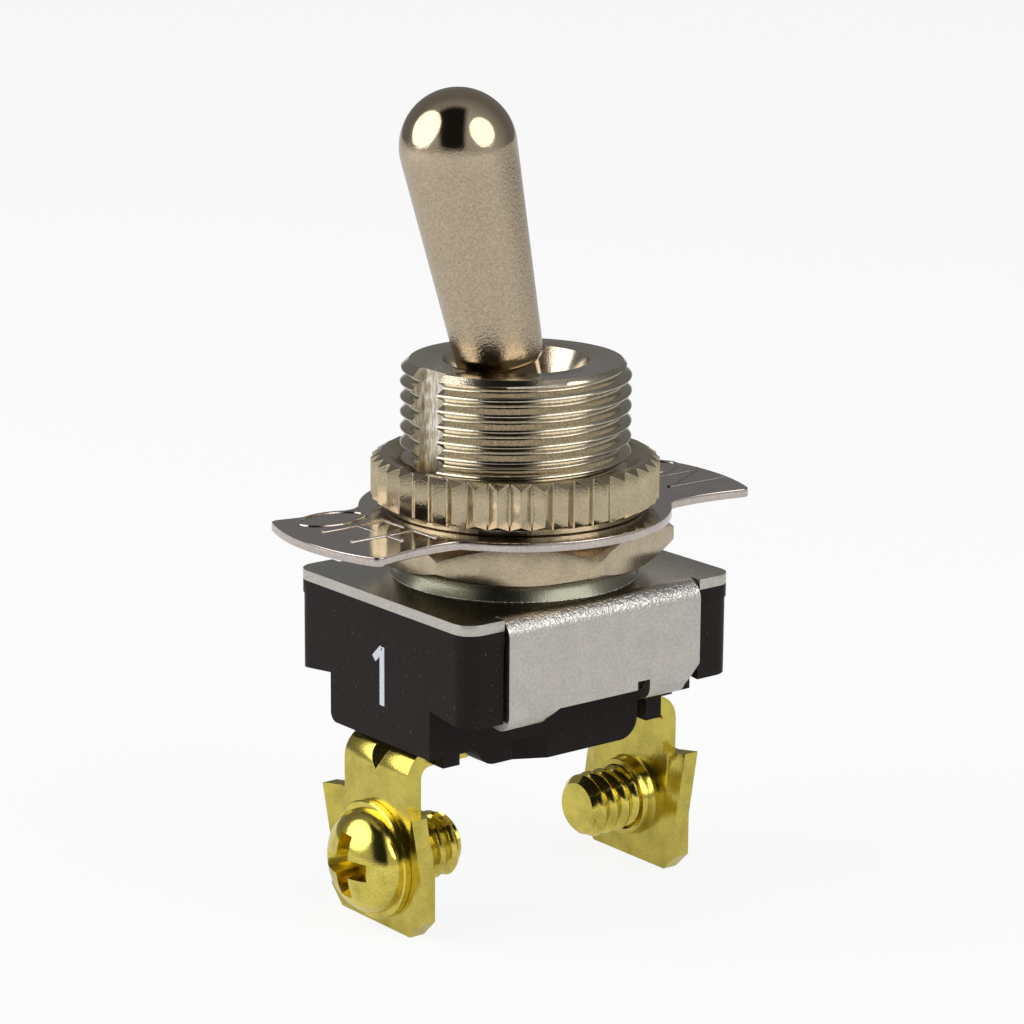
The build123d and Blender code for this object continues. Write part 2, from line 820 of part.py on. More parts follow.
# Cradle rivet: through the cradle's strap, the base's floor and the ON terminal's foot.
with BuildPart() as cradle_rivet:
    with Locations((contact_x, 0, floor_top + cradle_plate)):
        Cylinder(
            rivet_head_r,
            rivet_head_height,
            align=(Align.CENTER, Align.CENTER, Align.MIN),
        )
        Cylinder(
            rivet_r,
            floor_top + cradle_plate - foot_bottom,
            align=(Align.CENTER, Align.CENTER, Align.MAX),
        )
    with Locations((contact_x, 0, foot_bottom)):
        Cylinder(
            rivet_head_r,
            rivet_head_height,
            align=(Align.CENTER, Align.CENTER, Align.MAX),
        )
    fillet(cradle_rivet.edges().sort_by(Axis.Z)[0], radius=rivet_head_height / 2)
    fillet(cradle_rivet.edges().sort_by(Axis.Z)[-1], radius=rivet_head_height / 2)
cradle_rivet.part.label = "cradle_rivet"
export_step(cradle_rivet.part, "parts/cradle_rivet.step")

# OFF terminal: a strip riveted under the base, bent down past its end, with a stiffening dart in
# the bend, a wide lower plate, ears that flare out towards their tops, and a collar raised round
# the tapped hole.
bend_centre = (-terminal_face + terminal_bend_r, foot_top - terminal_bend_r)
terminal_inner_r = terminal_bend_r - strip
dart_plane = Plane(
    origin=(
        bend_centre[0] - terminal_bend_r * sin(pi / 4),
        0,
        bend_centre[1] + terminal_bend_r * sin(pi / 4),
    ),
    x_dir=(0, 1, 0),
    z_dir=(1, 0, 1),
)
with BuildPart() as terminal_off:
    with BuildSketch(Plane.XZ):
        with BuildLine():
            neck_end = shoulder_z - ear_height
            CenterArc(bend_centre, terminal_bend_r, 90, 90)
            Polyline(
                (-terminal_face, bend_centre[1]),
                (-terminal_face, neck_end),
                (-inner_face, neck_end),
                (-inner_face, bend_centre[1]),
            )
            CenterArc(bend_centre, terminal_inner_r, 90, 90)
            Polyline(
                (bend_centre[0], foot_bottom),
                (-foot_end, foot_bottom),
                (-foot_end, foot_top),
                (bend_centre[0], foot_top),
            )
        make_face()
    extrude(amount=neck_half, both=True)
    with BuildSketch(Plane.YZ.offset(-terminal_face)):
        with BuildLine():
            Polyline(
                (ear_width - plate_half, shoulder_z),
                (ear_width - plate_half, shoulder_z - ear_height),
                (-plate_half, shoulder_z - ear_height),
                (-plate_half, plate_bottom + plate_corner),
                (plate_corner - plate_half, plate_bottom),
                (plate_half - plate_corner, plate_bottom),
                (plate_half, plate_bottom + plate_corner),
                (plate_half, shoulder_z - ear_height),
                (plate_half - ear_width, shoulder_z - ear_height),
                (plate_half - ear_width, shoulder_z),
                close=True,
            )
        make_face()
    extrude(amount=strip)
    for side in (-1, 1):
        for ear_z, flare in ((shoulder_z, ear_flare), (shoulder_z - ear_height, 0)):
            with BuildSketch(Plane.XY.offset(ear_z)):
                Polygon(
                    (-terminal_face, side * (plate_half - ear_width)),
                    (-inner_face, side * (plate_half - ear_width)),
                    (-inner_face - flare, side * plate_half),
                    (-terminal_face - flare, side * plate_half),
                    align=None,
                )
        loft(ruled=True)
    with BuildSketch(dart_plane):
        with BuildLine():
            Polyline(
                (-dart_width / 2, dart_depth / 4),
                (0, -dart_depth),
                (dart_width / 2, dart_depth / 4),
                close=True,
            )
        make_face()
    extrude(amount=dart_length / 2, both=True, mode=Mode.SUBTRACT)
    with BuildSketch(dart_plane):
        with BuildLine():
            Polyline(
                (-dart_width / 2, -strip),
                (0, -strip - dart_depth),
                (dart_width / 2, -strip),
                close=True,
            )
        make_face()
    extrude(amount=terminal_inner_r, both=True)
    with BuildSketch(Plane.YZ.offset(-inner_face)):
        with Locations((0, screw_z)):
            Circle(collar_r)
    extrude(amount=collar_height, taper=chamfer_angle / 3)
    with Locations((-terminal_face, 0, screw_z)):
        Cylinder(
            screw_r + screw_fit,
            4 * strip,
            rotation=(0, 90, 0),
            mode=Mode.SUBTRACT,
        )
    with Locations((-contact_x, 0, foot_top)):
        Cylinder(rivet_r, 4 * strip, mode=Mode.SUBTRACT)
terminal_off.part.label = "terminal_off"
export_step(terminal_off.part, "parts/terminal_off.step")

# ON terminal: the same strip, at the other end.
with BuildPart() as terminal_on:
    add(mirror(terminal_off.part, about=Plane.YZ, mode=Mode.PRIVATE))
terminal_on.part.label = "terminal_on"
export_step(terminal_on.part, "parts/terminal_on.step")

# OFF terminal screw: a flanged round head with a tapered cross recess, and a plain shank.
seat_x = -terminal_face - screw_seat_gap
dome_x = seat_x - flange_thickness
with BuildPart() as terminal_screw_off:
    with BuildSketch(Plane.XZ):
        with BuildLine():
            Polyline(
                (-screw_tip, screw_z),
                (-screw_tip, screw_z + screw_r - screw_tip_chamfer),
                (-screw_tip - screw_tip_chamfer, screw_z + screw_r),
                (seat_x, screw_z + screw_r),
                (seat_x, screw_z + flange_r),
                (dome_x, screw_z + flange_r),
                (dome_x, screw_z + head_r),
            )
            EllipticalCenterArc(
                (dome_x, screw_z), head_height, head_r, start_angle=90, arc_size=90
            )
            Line((dome_x - head_height, screw_z), (-screw_tip, screw_z))
        make_face()
    revolve(axis=Axis((0, 0, screw_z), (1, 0, 0)))
    head_face = Plane(
        origin=(dome_x - head_height, 0, screw_z),
        x_dir=(0, 1, 0),
        z_dir=(1, 0, 0),
    )
    with BuildSketch(head_face):
        Rectangle(recess_length, recess_width)
        Rectangle(recess_width, recess_length)
    extrude(amount=recess_depth, taper=recess_taper, mode=Mode.SUBTRACT)
terminal_screw_off.part.label = "terminal_screw_off"
export_step(terminal_screw_off.part, "parts/terminal_screw_off.step")

# ON terminal screw: the same screw, at the other end.
with BuildPart() as terminal_screw_on:
    add(mirror(terminal_screw_off.part, about=Plane.YZ, mode=Mode.PRIVATE))
terminal_screw_on.part.label = "terminal_screw_on"
export_step(terminal_screw_on.part, "parts/terminal_screw_on.step")
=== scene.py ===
# %% [markdown]
# A panel toggle switch, dressed for a studio photograph. The measured model already has every
# piece at its real size and place. This script gives each visible piece the form and finish that
# the eye expects: the thread, the knurl, rounded edges, plated and bare metal, moulded plastic,
# stamped lettering, and soft light. The frame is loaded first, because every size below is
# either read from it or is a real size in millimetres.

# %% Load the measured model
import json
import math

import bmesh
import bpy
from mathutils import Matrix, Vector

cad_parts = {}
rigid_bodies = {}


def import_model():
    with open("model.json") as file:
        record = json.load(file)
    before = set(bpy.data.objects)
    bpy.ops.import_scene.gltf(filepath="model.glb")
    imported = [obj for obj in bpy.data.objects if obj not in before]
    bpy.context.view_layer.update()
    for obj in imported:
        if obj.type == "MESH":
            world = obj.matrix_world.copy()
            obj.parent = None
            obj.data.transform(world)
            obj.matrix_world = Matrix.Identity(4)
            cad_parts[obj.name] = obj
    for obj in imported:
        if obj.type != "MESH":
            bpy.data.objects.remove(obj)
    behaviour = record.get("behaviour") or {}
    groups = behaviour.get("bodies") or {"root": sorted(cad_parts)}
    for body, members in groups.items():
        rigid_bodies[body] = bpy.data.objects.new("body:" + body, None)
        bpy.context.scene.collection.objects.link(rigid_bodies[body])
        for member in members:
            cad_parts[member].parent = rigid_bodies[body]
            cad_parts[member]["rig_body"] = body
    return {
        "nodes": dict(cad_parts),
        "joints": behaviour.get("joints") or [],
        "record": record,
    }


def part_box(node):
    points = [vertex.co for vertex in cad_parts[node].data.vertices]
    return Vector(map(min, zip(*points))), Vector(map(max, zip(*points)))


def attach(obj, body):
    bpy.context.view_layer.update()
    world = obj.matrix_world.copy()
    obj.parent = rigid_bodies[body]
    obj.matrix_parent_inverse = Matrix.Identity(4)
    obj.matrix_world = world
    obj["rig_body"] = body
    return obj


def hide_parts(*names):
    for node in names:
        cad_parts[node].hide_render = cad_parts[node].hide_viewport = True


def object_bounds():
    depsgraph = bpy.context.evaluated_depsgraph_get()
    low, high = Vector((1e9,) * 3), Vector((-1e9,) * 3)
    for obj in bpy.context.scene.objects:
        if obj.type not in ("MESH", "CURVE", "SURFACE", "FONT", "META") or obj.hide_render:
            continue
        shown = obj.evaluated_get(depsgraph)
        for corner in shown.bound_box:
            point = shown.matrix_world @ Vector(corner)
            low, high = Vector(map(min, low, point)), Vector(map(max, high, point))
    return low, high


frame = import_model()
cad_low, cad_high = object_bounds()
MM = 0.001
body_of = {name: node["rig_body"] for name, node in frame["nodes"].items()}
slot_of = {row["node"]: row["material_slot"] for row in frame["record"]["subparts"]}
joint_of = {joint["name"]: joint for joint in frame["joints"]}
cad_size = cad_high - cad_low
print("nodes", len(frame["nodes"]), "box in mm", [round(size / MM, 2) for size in cad_size])

# %% [markdown]
# The camera stands where the photographer stood. Its place is given the way a photographer would
# say it: how far round, how high, how far away, and what it looks at. The three axes of the
# camera are worked out from those numbers, and the lamps are placed along the same axes later.

# %% Camera at the photograph's angle
VIEW_AZIMUTH = math.radians(-38.339)
VIEW_ELEVATION = math.radians(14.138)
VIEW_ROLL = math.radians(0.431)
VIEW_DISTANCE = 180.93 * MM
VIEW_TARGET = Vector((0.331, 0.663, 2.880)) * MM
LENS_LENGTH = 122.63
SENSOR_WIDTH = 36

level_right = Vector((math.cos(VIEW_AZIMUTH), math.sin(VIEW_AZIMUTH), 0))
view_back = Vector((
    math.sin(VIEW_AZIMUTH) * math.cos(VIEW_ELEVATION),
    -math.cos(VIEW_AZIMUTH) * math.cos(VIEW_ELEVATION),
    math.sin(VIEW_ELEVATION),
))
level_up = view_back.cross(level_right)
view_right = level_right * math.cos(VIEW_ROLL) + level_up * math.sin(VIEW_ROLL)
view_up = level_up * math.cos(VIEW_ROLL) - level_right * math.sin(VIEW_ROLL)

camera_data = bpy.data.cameras.new("camera")
camera_data.lens = LENS_LENGTH
camera_data.sensor_width = SENSOR_WIDTH
camera_data.clip_start = 10 * MM
camera_data.clip_end = 10
camera = bpy.data.objects.new("camera", camera_data)
camera.matrix_world = (
    Matrix.Translation(VIEW_TARGET + view_back * VIEW_DISTANCE)
    @ Matrix((view_right, view_up, view_back)).transposed().to_4x4()
)
bpy.context.scene.collection.objects.link(camera)
bpy.context.scene.camera = camera
bpy.context.scene.view_settings.view_transform = "Standard"
print("camera stands at", [round(part / MM, 1) for part in camera.matrix_world.translation], "mm")

# %% [markdown]
# Shader maths reads best as plain expressions. The class below wraps one output of a node, so
# that adding or multiplying two of them adds the Math node that does it. Every other node comes
# from one method, which sets the node's own settings first and then its inputs.

# %% A small language for shader nodes
def colour(red, green, blue):
    """An opaque colour, as a node's colour input takes it."""
    return red, green, blue, 1.0


class Shade:
    """One output of a shader node. Arithmetic on it adds Math nodes to the same tree."""

    def __init__(self, tree, output=None):
        self.tree = tree
        self.output = output

    def node(self, kind, settings=None, inputs=None, out=0):
        """Adds a node, applies its settings, fills its inputs and returns one of its outputs."""
        made = self.tree.nodes.new(kind)
        for name, value in (settings or {}).items():
            if name == "stops":
                (first_place, first_level), *between, (last_place, last_level) = value
                band = made.color_ramp.elements
                band[1].position = last_place
                band[1].color = colour(last_level, last_level, last_level)
                band[0].position = first_place
                band[0].color = colour(first_level, first_level, first_level)
                for position, level in between:
                    band.new(position).color = colour(level, level, level)
            else:
                setattr(made, name, value)
        for name, value in (inputs or {}).items():
            if isinstance(value, Shade):
                self.tree.links.new(value.output, made.inputs[name])
            else:
                made.inputs[name].default_value = value
        return Shade(self.tree, made.outputs[out])

    def maths(self, operation, first, second=0.0):
        return self.node("ShaderNodeMath", {"operation": operation}, {0: first, 1: second})

    def __add__(self, other):
        return self.maths("ADD", self, other)

    __radd__ = __add__

    def __sub__(self, other):
        return self.maths("SUBTRACT", self, other)

    def __rsub__(self, other):
        return self.maths("SUBTRACT", other, self)

    def __mul__(self, other):
        return self.maths("MULTIPLY", self, other)

    __rmul__ = __mul__

    def below(self, limit):
        """1 where the value is below a limit, and 0 elsewhere."""
        return self.maths("LESS_THAN", self, limit)

    def above(self, limit):
        """1 where the value is above a limit, and 0 elsewhere."""
        return self.maths("GREATER_THAN", self, limit)

    def absolute(self):
        return self.maths("ABSOLUTE", self)

    def ramp(self, *stops):
        """The value read through a ramp of (place, level) stops."""
        return self.node("ShaderNodeValToRGB", {"stops": stops}, {"Fac": self})

    def mix(self, low, high):
        """A colour that goes from low to high as this value goes from 0 to 1."""
        return self.node(
            "ShaderNodeMix",
            {"data_type": "RGBA"},
            {0: self, 6: low, 7: high},
            out=2,
        )

    def noise(self, place, grain, detail=2.0):
        """Soft random blotches whose size is grain millimetres."""
        return self.node(
            "ShaderNodeTexNoise",
            None,
            {"Vector": place, "Scale": 1 / (grain * MM), "Detail": detail},
        )

    def part(self, axis):
        """One of the three parts of a vector: X, Y or Z."""
        return self.node("ShaderNodeSeparateXYZ", None, {"Vector": self}, out=axis)

    def millimetres(self):
        """A length in the model's metres, as millimetres."""
        return self * (1 / MM)


# %% [markdown]
# A small product is photographed on a sweep of white paper, lit so strongly that the paper is
# almost pure white and only a faint shadow stays. So the floor is a large sheet that is part
# diffuse paper, which takes the shadow, and part plain glow. Its share of glow differs between
# rays from the camera and rays that a metal reflects, which keeps metals from washing out.

# %% Floor
FLOOR_SIZE = 4.0
FLOOR_WHITE = colour(0.86, 0.86, 0.86)
FLOOR_GLOW_TO_CAMERA = 0.88
FLOOR_GLOW_TO_METAL = 0.35
PLAIN_WHITE = colour(1, 1, 1)

floor_mesh = bpy.data.meshes.new("floor")
floor_form = bmesh.new()
bmesh.ops.create_grid(floor_form, x_segments=1, y_segments=1, size=FLOOR_SIZE / 2)
bmesh.ops.translate(floor_form, verts=floor_form.verts, vec=(0, 0, cad_low.z))
floor_form.to_mesh(floor_mesh)
floor_form.free()
floor = bpy.data.objects.new("floor", floor_mesh)
bpy.context.scene.collection.objects.link(floor)

floor_finish = bpy.data.materials.new("floor")
floor_finish.use_nodes = True
floor_tree = floor_finish.node_tree
floor_tree.nodes.clear()
studio = Shade(floor_tree)
ray_is_camera = studio.node("ShaderNodeLightPath", out="Is Camera Ray")
ray_is_glossy = studio.node("ShaderNodeLightPath", out="Is Glossy Ray")
floor_glow = studio.node("ShaderNodeEmission", None, {"Color": PLAIN_WHITE, "Strength": 1.0})
floor_paper = studio.node("ShaderNodeBsdfDiffuse", None, {"Color": FLOOR_WHITE})
floor_share = ray_is_camera * FLOOR_GLOW_TO_CAMERA + ray_is_glossy * FLOOR_GLOW_TO_METAL
floor_mixed = studio.node(
    "ShaderNodeMixShader",
    None,
    {0: floor_share, 1: floor_paper, 2: floor_glow},
)
floor_output = floor_tree.nodes.new("ShaderNodeOutputMaterial")
floor_tree.links.new(floor_mixed.output, floor_output.inputs["Surface"])
floor_mesh.materials.append(floor_finish)
print("floor at", round(cad_low.z / MM, 2), "mm")

# %% [markdown]
# A metal is mostly what it reflects, so the set matters as much as the shader. A domed piece
# shows the whole room at once: a dark gap where the camera stands, with a light at each side.
# Glossy rays see that gap in the world, tall and a little to the left, and a grey wall behind the
# object. The camera itself sees plain white.

# %% World
WALL_GREY = 0.20
SIDE_GREY = 0.50
GAP_DARK = 0.012
GAP_RISE = 0.62
GAP_SHIFT = -0.12
GAP_MIDDLE = -0.17
FILL_LIGHT = 0.42
camera_side = Vector((view_back.x, view_back.y, 0)).normalized()
gap_direction = (view_back + view_up * GAP_RISE + view_right * GAP_SHIFT).normalized()

world = bpy.data.worlds.new("studio")
bpy.context.scene.world = world
world.use_nodes = True
world.node_tree.nodes.clear()
sky = Shade(world.node_tree)
looking = sky.node("ShaderNodeTexCoord", out="Generated")


def facing(direction):
    """How far a ray looks along a direction, from -1 to 1."""
    return sky.node(
        "ShaderNodeVectorMath",
        {"operation": "DOT_PRODUCT"},
        {0: looking, 1: direction},
        out="Value",
    )


surround = (facing(camera_side) * 0.5 + 0.5).ramp((0.25, WALL_GREY), (0.62, SIDE_GREY))
gap_height = facing(gap_direction).ramp((0.62, 0), (0.76, 1))
gap_width = (facing(view_right) - GAP_MIDDLE).absolute().ramp((0.34, 1), (0.48, 0))
gap = gap_height * gap_width
reflected = gap.mix(surround, colour(GAP_DARK, GAP_DARK, GAP_DARK))
to_camera = sky.node("ShaderNodeLightPath", out="Is Camera Ray")
to_metal = sky.node("ShaderNodeLightPath", out="Is Glossy Ray")
plain_fill = to_metal.mix(colour(FILL_LIGHT, FILL_LIGHT, FILL_LIGHT), reflected)
seen = to_camera.mix(plain_fill, PLAIN_WHITE)
backdrop = sky.node("ShaderNodeBackground", None, {"Color": seen, "Strength": 1.0})
world_output = world.node_tree.nodes.new("ShaderNodeOutputWorld")
world.node_tree.links.new(backdrop.output, world_output.inputs["Surface"])
print("world nodes", len(world.node_tree.nodes))

# %% [markdown]
# Two large oval soft boxes stand at the left and the right of the camera and a little above it.
# Each is an area lamp, and its power follows its area, so that its brightness is the same at any
# size. Its reflection is then a plain white oval.

# %% Soft boxes
LAMP_DISTANCE = 300 * MM


def soft_box(name, aim, width, height, glow):
    """An oval lamp, aimed from a direction along the view's axes, with sizes in millimetres."""
    lamp_data = bpy.data.lights.new(name, "AREA")
    lamp_data.shape = "ELLIPSE"
    lamp_data.size = width * MM
    lamp_data.size_y = height * MM
    area = math.pi / 4 * lamp_data.size * lamp_data.size_y
    lamp_data.energy = glow * math.pi * area
    lamp = bpy.data.objects.new(name, lamp_data)
    direction = (view_right * aim[0] + view_up * aim[1] + view_back * aim[2]).normalized()
    lamp.location = VIEW_TARGET + direction * LAMP_DISTANCE
    lamp.rotation_euler = direction.to_track_quat("Z", "Y").to_euler()
    lamp.visible_camera = False
    bpy.context.scene.collection.objects.link(lamp)


soft_box("left_box", (-0.83, 0.48, 0.28), 330, 330, 2.3)
soft_box("right_box", (0.69, 0.42, 0.58), 270, 280, 2.1)
print("lamps", len(bpy.data.lights))

# %% [markdown]
# Most pieces share the same last steps: mark the sharp edges so that the rest shades smoothly,
# make an object at the origin, give it a material, put it on the body it rides on, and hide the
# measured piece that it stands for. A few short functions do that.

# %% Turn a finished form into a piece
SHARP_ANGLE = math.radians(32)
MERGE_DISTANCE = 0.0005 * MM


def shade_smooth(form, sharp_angle=SHARP_ANGLE):
    """Shades every face smooth, apart from edges that turn by more than the sharp angle."""
    for face in form.faces:
        face.smooth = True
    for edge in form.edges:
        edge.smooth = edge.calc_face_angle(math.pi) < sharp_angle


def object_from(name, form):
    """A new object at the origin that holds the form's mesh."""
    mesh = bpy.data.meshes.new(name)
    form.to_mesh(mesh)
    form.free()
    piece = bpy.data.objects.new(name, mesh)
    bpy.context.scene.collection.objects.link(piece)
    return piece


def stand_for(piece, node, finish):
    """Gives the piece its finish, and puts it in the place of a measured node."""
    piece.data.materials.clear()
    piece.data.materials.append(finish)
    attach(piece, body_of[node])
    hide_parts(node)
    print(piece.name, "has", len(piece.data.polygons), "faces")


def add_to(piece, body, finish):
    """Gives an added piece, which stands for no measured node, its finish and its body."""
    piece.data.materials.clear()
    piece.data.materials.append(finish)
    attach(piece, body)
    print(piece.name, "has", len(piece.data.polygons), "faces")


def cut_away(piece, cutter):
    """Takes the cutter's shape out of the piece, and throws the cutter away."""
    modifier = piece.modifiers.new("cut", "BOOLEAN")
    modifier.operation = "DIFFERENCE"
    modifier.solver = "EXACT"
    modifier.object = cutter
    bpy.context.view_layer.update()
    evaluated = piece.evaluated_get(bpy.context.evaluated_depsgraph_get())
    cut_mesh = bpy.data.meshes.new_from_object(evaluated)
    piece.modifiers.clear()
    piece.data = cut_mesh
    bpy.data.objects.remove(cutter)


def reshade(piece, sharp_angle=SHARP_ANGLE):
    """Marks the sharp edges of a finished object again, after cuts."""
    form = bmesh.new()
    form.from_mesh(piece.data)
    shade_smooth(form, sharp_angle)
    form.to_mesh(piece.data)
    form.free()


# %% [markdown]
# Every finish starts the same way: one principled shader with its plain values, the place of each
# point on the object, and two helpers, one that links a value to an input and one that turns a
# height into a bent normal. All sizes in a finish are real millimetres.

# %% Start of a finish
def new_finish(name, base, roughness, metallic=1.0):
    """A material with one principled shader, and the handles that its details are tied to."""
    finish = bpy.data.materials.new(name)
    finish.use_nodes = True
    shader = finish.node_tree.nodes["Principled BSDF"]
    shader.inputs["Base Color"].default_value = base
    shader.inputs["Metallic"].default_value = metallic
    shader.inputs["Roughness"].default_value = roughness
    paint = Shade(finish.node_tree)
    place = paint.node("ShaderNodeTexCoord", out="Object")
    return finish, shader, paint, place


def tie(shader, name, value):
    """Links a value to one input of the principled shader."""
    value.tree.links.new(value.output, shader.inputs[name])


def bumped(paint, height, depth):
    """A normal bent by a height of so many millimetres."""
    return paint.node(
        "ShaderNodeBump",
        None,
        {"Distance": depth * MM, "Height": height},
        out="Normal",
    )


def shaded(base, share):
    """The same colour, lighter or darker by a share."""
    return colour(*[share * part for part in base[:3]])


# %% [markdown]
# Plated metal is a mirror with a history. A thin nickel coat keeps the fine texture of the metal
# under it, so the finish has a fine sand and wide clouds in its colour, its roughness and its
# bump. One function makes the polished and the satin pieces, with other numbers.

# %% Nickel plate
def nickel(name, base, shine, satin, grain, depth):
    """Nickel plate: shine and satin are the lowest and highest roughness, grain in millimetres."""
    finish, shader, paint, place = new_finish(name, base, shine)
    clouds = paint.noise(place, grain * 9, 3)
    sand = paint.noise(place, grain, 2)
    worn = clouds.ramp((0.38, 0.0), (0.62, 1.0))
    speckle = sand.ramp((0.34, 0.0), (0.66, 1.0))
    darker = worn * 0.3 + speckle * 0.7
    tie(shader, "Base Color", darker.mix(shaded(base, 1.12), shaded(base, 0.84)))
    tie(shader, "Roughness", worn * (satin - shine) + shine)
    tie(shader, "Normal", bumped(paint, sand + clouds * 0.4, depth))
    return finish


nickel_knurl = nickel("nickel_knurl", colour(0.47, 0.395, 0.26), 0.12, 0.20, 0.11, 0.006)
nickel_nut = nickel("nickel_nut", colour(0.51, 0.42, 0.29), 0.20, 0.28, 0.12, 0.004)
nickel_plate = nickel("nickel_plate", colour(0.55, 0.49, 0.45), 0.09, 0.16, 0.12, 0.003)

# %% [markdown]
# The bat is tumbled to a satin on its long sides and stays bright on the dome and at the foot,
# where the polishing mop reached. So its roughness follows the height: a ramp along Z keeps the
# sand between the foot and the dome.

# %% Lever's nickel
SATIN_LEVELS = [(11.4, 0.0), (12.6, 1.0), (21.2, 1.0), (23.0, 0.0)]
SATIN_SPAN = 30.0


def lever_finish():
    """Satin sides between a bright foot and a bright dome, by the height in millimetres."""
    base = colour(0.49, 0.40, 0.285)
    finish, shader, paint, place = new_finish("nickel_lever", base, 0.3)
    height = place.part("Z").millimetres() * (1 / SATIN_SPAN)
    satin = height.ramp(*[(level / SATIN_SPAN, share) for level, share in SATIN_LEVELS])
    sand = paint.noise(place, 0.13, 2)
    clouds = paint.noise(place, 1.4, 3)
    speckle = sand.ramp((0.32, 0.0), (0.68, 1.0)) * (satin * 0.7 + 0.3)
    tie(shader, "Base Color", speckle.mix(shaded(base, 1.10), shaded(base, 0.80)))
    tie(shader, "Roughness", satin * 0.15 + clouds * 0.06 + 0.07)
    tie(shader, "Normal", bumped(paint, sand * (satin * 0.95 + 0.05) + clouds * 0.15, 0.03))
    return finish


nickel_lever = lever_finish()
print("satin between", SATIN_LEVELS[1][0], "and", SATIN_LEVELS[2][0], "mm")

# %% [markdown]
# The bushing's thread is bright, and its keyway is broached after the thread is cut, which leaves
# torn, ragged metal. The finish finds the keyway by its place, a narrow band on the OFF side, and
# gives it coarse streaks along the cut.

# %% Bushing's nickel
KEYWAY_HALF = 1.02
KEYWAY_SIDE = -4.0
STREAK_STRETCH = (1.0, 1.0, 0.22)
TORN_METAL = colour(0.85, 0.80, 0.70)


def bushing_finish():
    """Bright fine-grained plate on the thread, and torn streaks in the keyway."""
    base = colour(0.56, 0.50, 0.39)
    finish, shader, paint, place = new_finish("nickel_thread", base, 0.12)
    in_width = place.part("Y").millimetres().absolute().below(KEYWAY_HALF)
    keyway = in_width * place.part("X").millimetres().below(KEYWAY_SIDE)
    stretched = place.node(
        "ShaderNodeVectorMath",
        {"operation": "MULTIPLY"},
        {0: place, 1: STREAK_STRETCH},
    )
    streaks = paint.noise(stretched, 0.16, 3)
    sand = paint.noise(place, 0.10, 2)
    torn = keyway * streaks.ramp((0.45, 0.0), (0.60, 1.0))
    speckle = sand.ramp((0.34, 0.0), (0.66, 1.0))
    plated = speckle.mix(shaded(base, 1.15), shaded(base, 0.80))
    tie(shader, "Base Color", torn.mix(plated, TORN_METAL))
    tie(shader, "Roughness", sand * 0.10 + keyway * 0.18 + 0.08)
    tie(shader, "Normal", bumped(paint, sand * 0.25 + keyway * streaks * 2.0, 0.02))
    return finish


nickel_thread = bushing_finish()
print("keyway finish", 2 * KEYWAY_HALF, "mm wide")

# %% [markdown]
# The frame is zinc-plated sheet. Its top stays flat and reflects the set like dull glass, and its
# colour is painted darker than the flaps' as painted shade. The drawn boss is painted dark too, as
# painted shade under the hex nut. The bends stretch the coat until it sparkles, and the flaps are
# satin. The finish tells them apart by which way the surface faces, and the boss by its height.

# %% Zinc plate
ZINC_SIDE = colour(0.64, 0.60, 0.54)
# The top's colour is painted shade: the same zinc, darker only on the faces that point up.
ZINC_TOP_PAINTED_SHADE = colour(0.54, 0.52, 0.44)
ZINC_SPARKLE = colour(0.92, 0.91, 0.88)
ZINC_GRAIN = colour(0.30, 0.295, 0.28)
# The boss's dark colour is painted shade: the dim look it takes under the hex nut just above it.
ZINC_BOSS_PAINTED_SHADE = colour(0.25, 0.25, 0.19)
BOSS_START = 0.03


def zinc_sheet():
    """Zinc plate with bends and flaps as on pressed sheet; painted shade darkens its top and boss.
    """
    finish, shader, paint, place = new_finish("zinc_sheet", ZINC_SIDE, 0.3)
    facing_up = place.node("ShaderNodeTexCoord", out="Normal").part("Z")
    top = facing_up.ramp((0.86, 0.0), (0.985, 1.0))
    bend = facing_up.ramp((0.12, 0.0), (0.35, 1.0), (0.86, 1.0), (0.97, 0.0))
    boss = place.part("Z").millimetres().above(BOSS_START)
    fine = paint.noise(place, 0.11, 3)
    blots = paint.noise(place, 1.1, 3)
    sparkle = paint.noise(place, 0.16, 1).ramp((0.44, 0.0), (0.56, 1.0))
    # Faces that point up take the darker top colour, which is painted shade.
    flats_with_painted_shade = top.mix(ZINC_SIDE, ZINC_TOP_PAINTED_SHADE)
    folded = (bend * sparkle).mix(flats_with_painted_shade, ZINC_SPARKLE)
    grain = fine.ramp((0.35, 0.0), (0.65, 1.0)) * 0.3 + blots * 0.35
    # Above the boss's height the colour turns dark, a painted shade under the hex nut.
    tie(shader, "Base Color", boss.mix(grain.mix(folded, ZINC_GRAIN), ZINC_BOSS_PAINTED_SHADE))
    roughness = blots * 0.10 + fine * 0.08 + 0.22
    tie(shader, "Roughness", roughness * (1 - boss * 0.15) * (1 - top * 0.35))
    tie(shader, "Normal", bumped(paint, fine * 0.5 + bend * sparkle * (1 - boss), 0.016))
    return finish


# %% [markdown]
# Brass is bare here, so its colour is strong and its shine uneven, with a greener tone where air
# and fingers have dulled it. The base is a pressed phenolic: almost black, with fine pale flecks
# from its filler and hardly any shine, so its specular level is low.

# %% Brass and phenolic
BRASS = colour(0.68, 0.56, 0.12)
TARNISH = colour(0.42, 0.36, 0.07)


def brass(name, bare, shine, satin, grain, depth):
    """Bare brass, tarnished in blots: roughness goes from shine to satin with the tarnish."""
    finish, shader, paint, place = new_finish(name, bare, shine)
    blots = paint.noise(place, grain * 14, 4)
    fine = paint.noise(place, grain, 3)
    tarnish = blots.ramp((0.40, 0.0), (0.68, 1.0)) * 0.55
    speckle = fine.ramp((0.38, 0.0), (0.62, 1.0)) * 0.35
    tie(shader, "Base Color", (tarnish + speckle).mix(bare, TARNISH))
    tie(shader, "Roughness", tarnish * (satin - shine) + shine)
    tie(shader, "Normal", bumped(paint, fine + blots * 0.8, depth))
    return finish


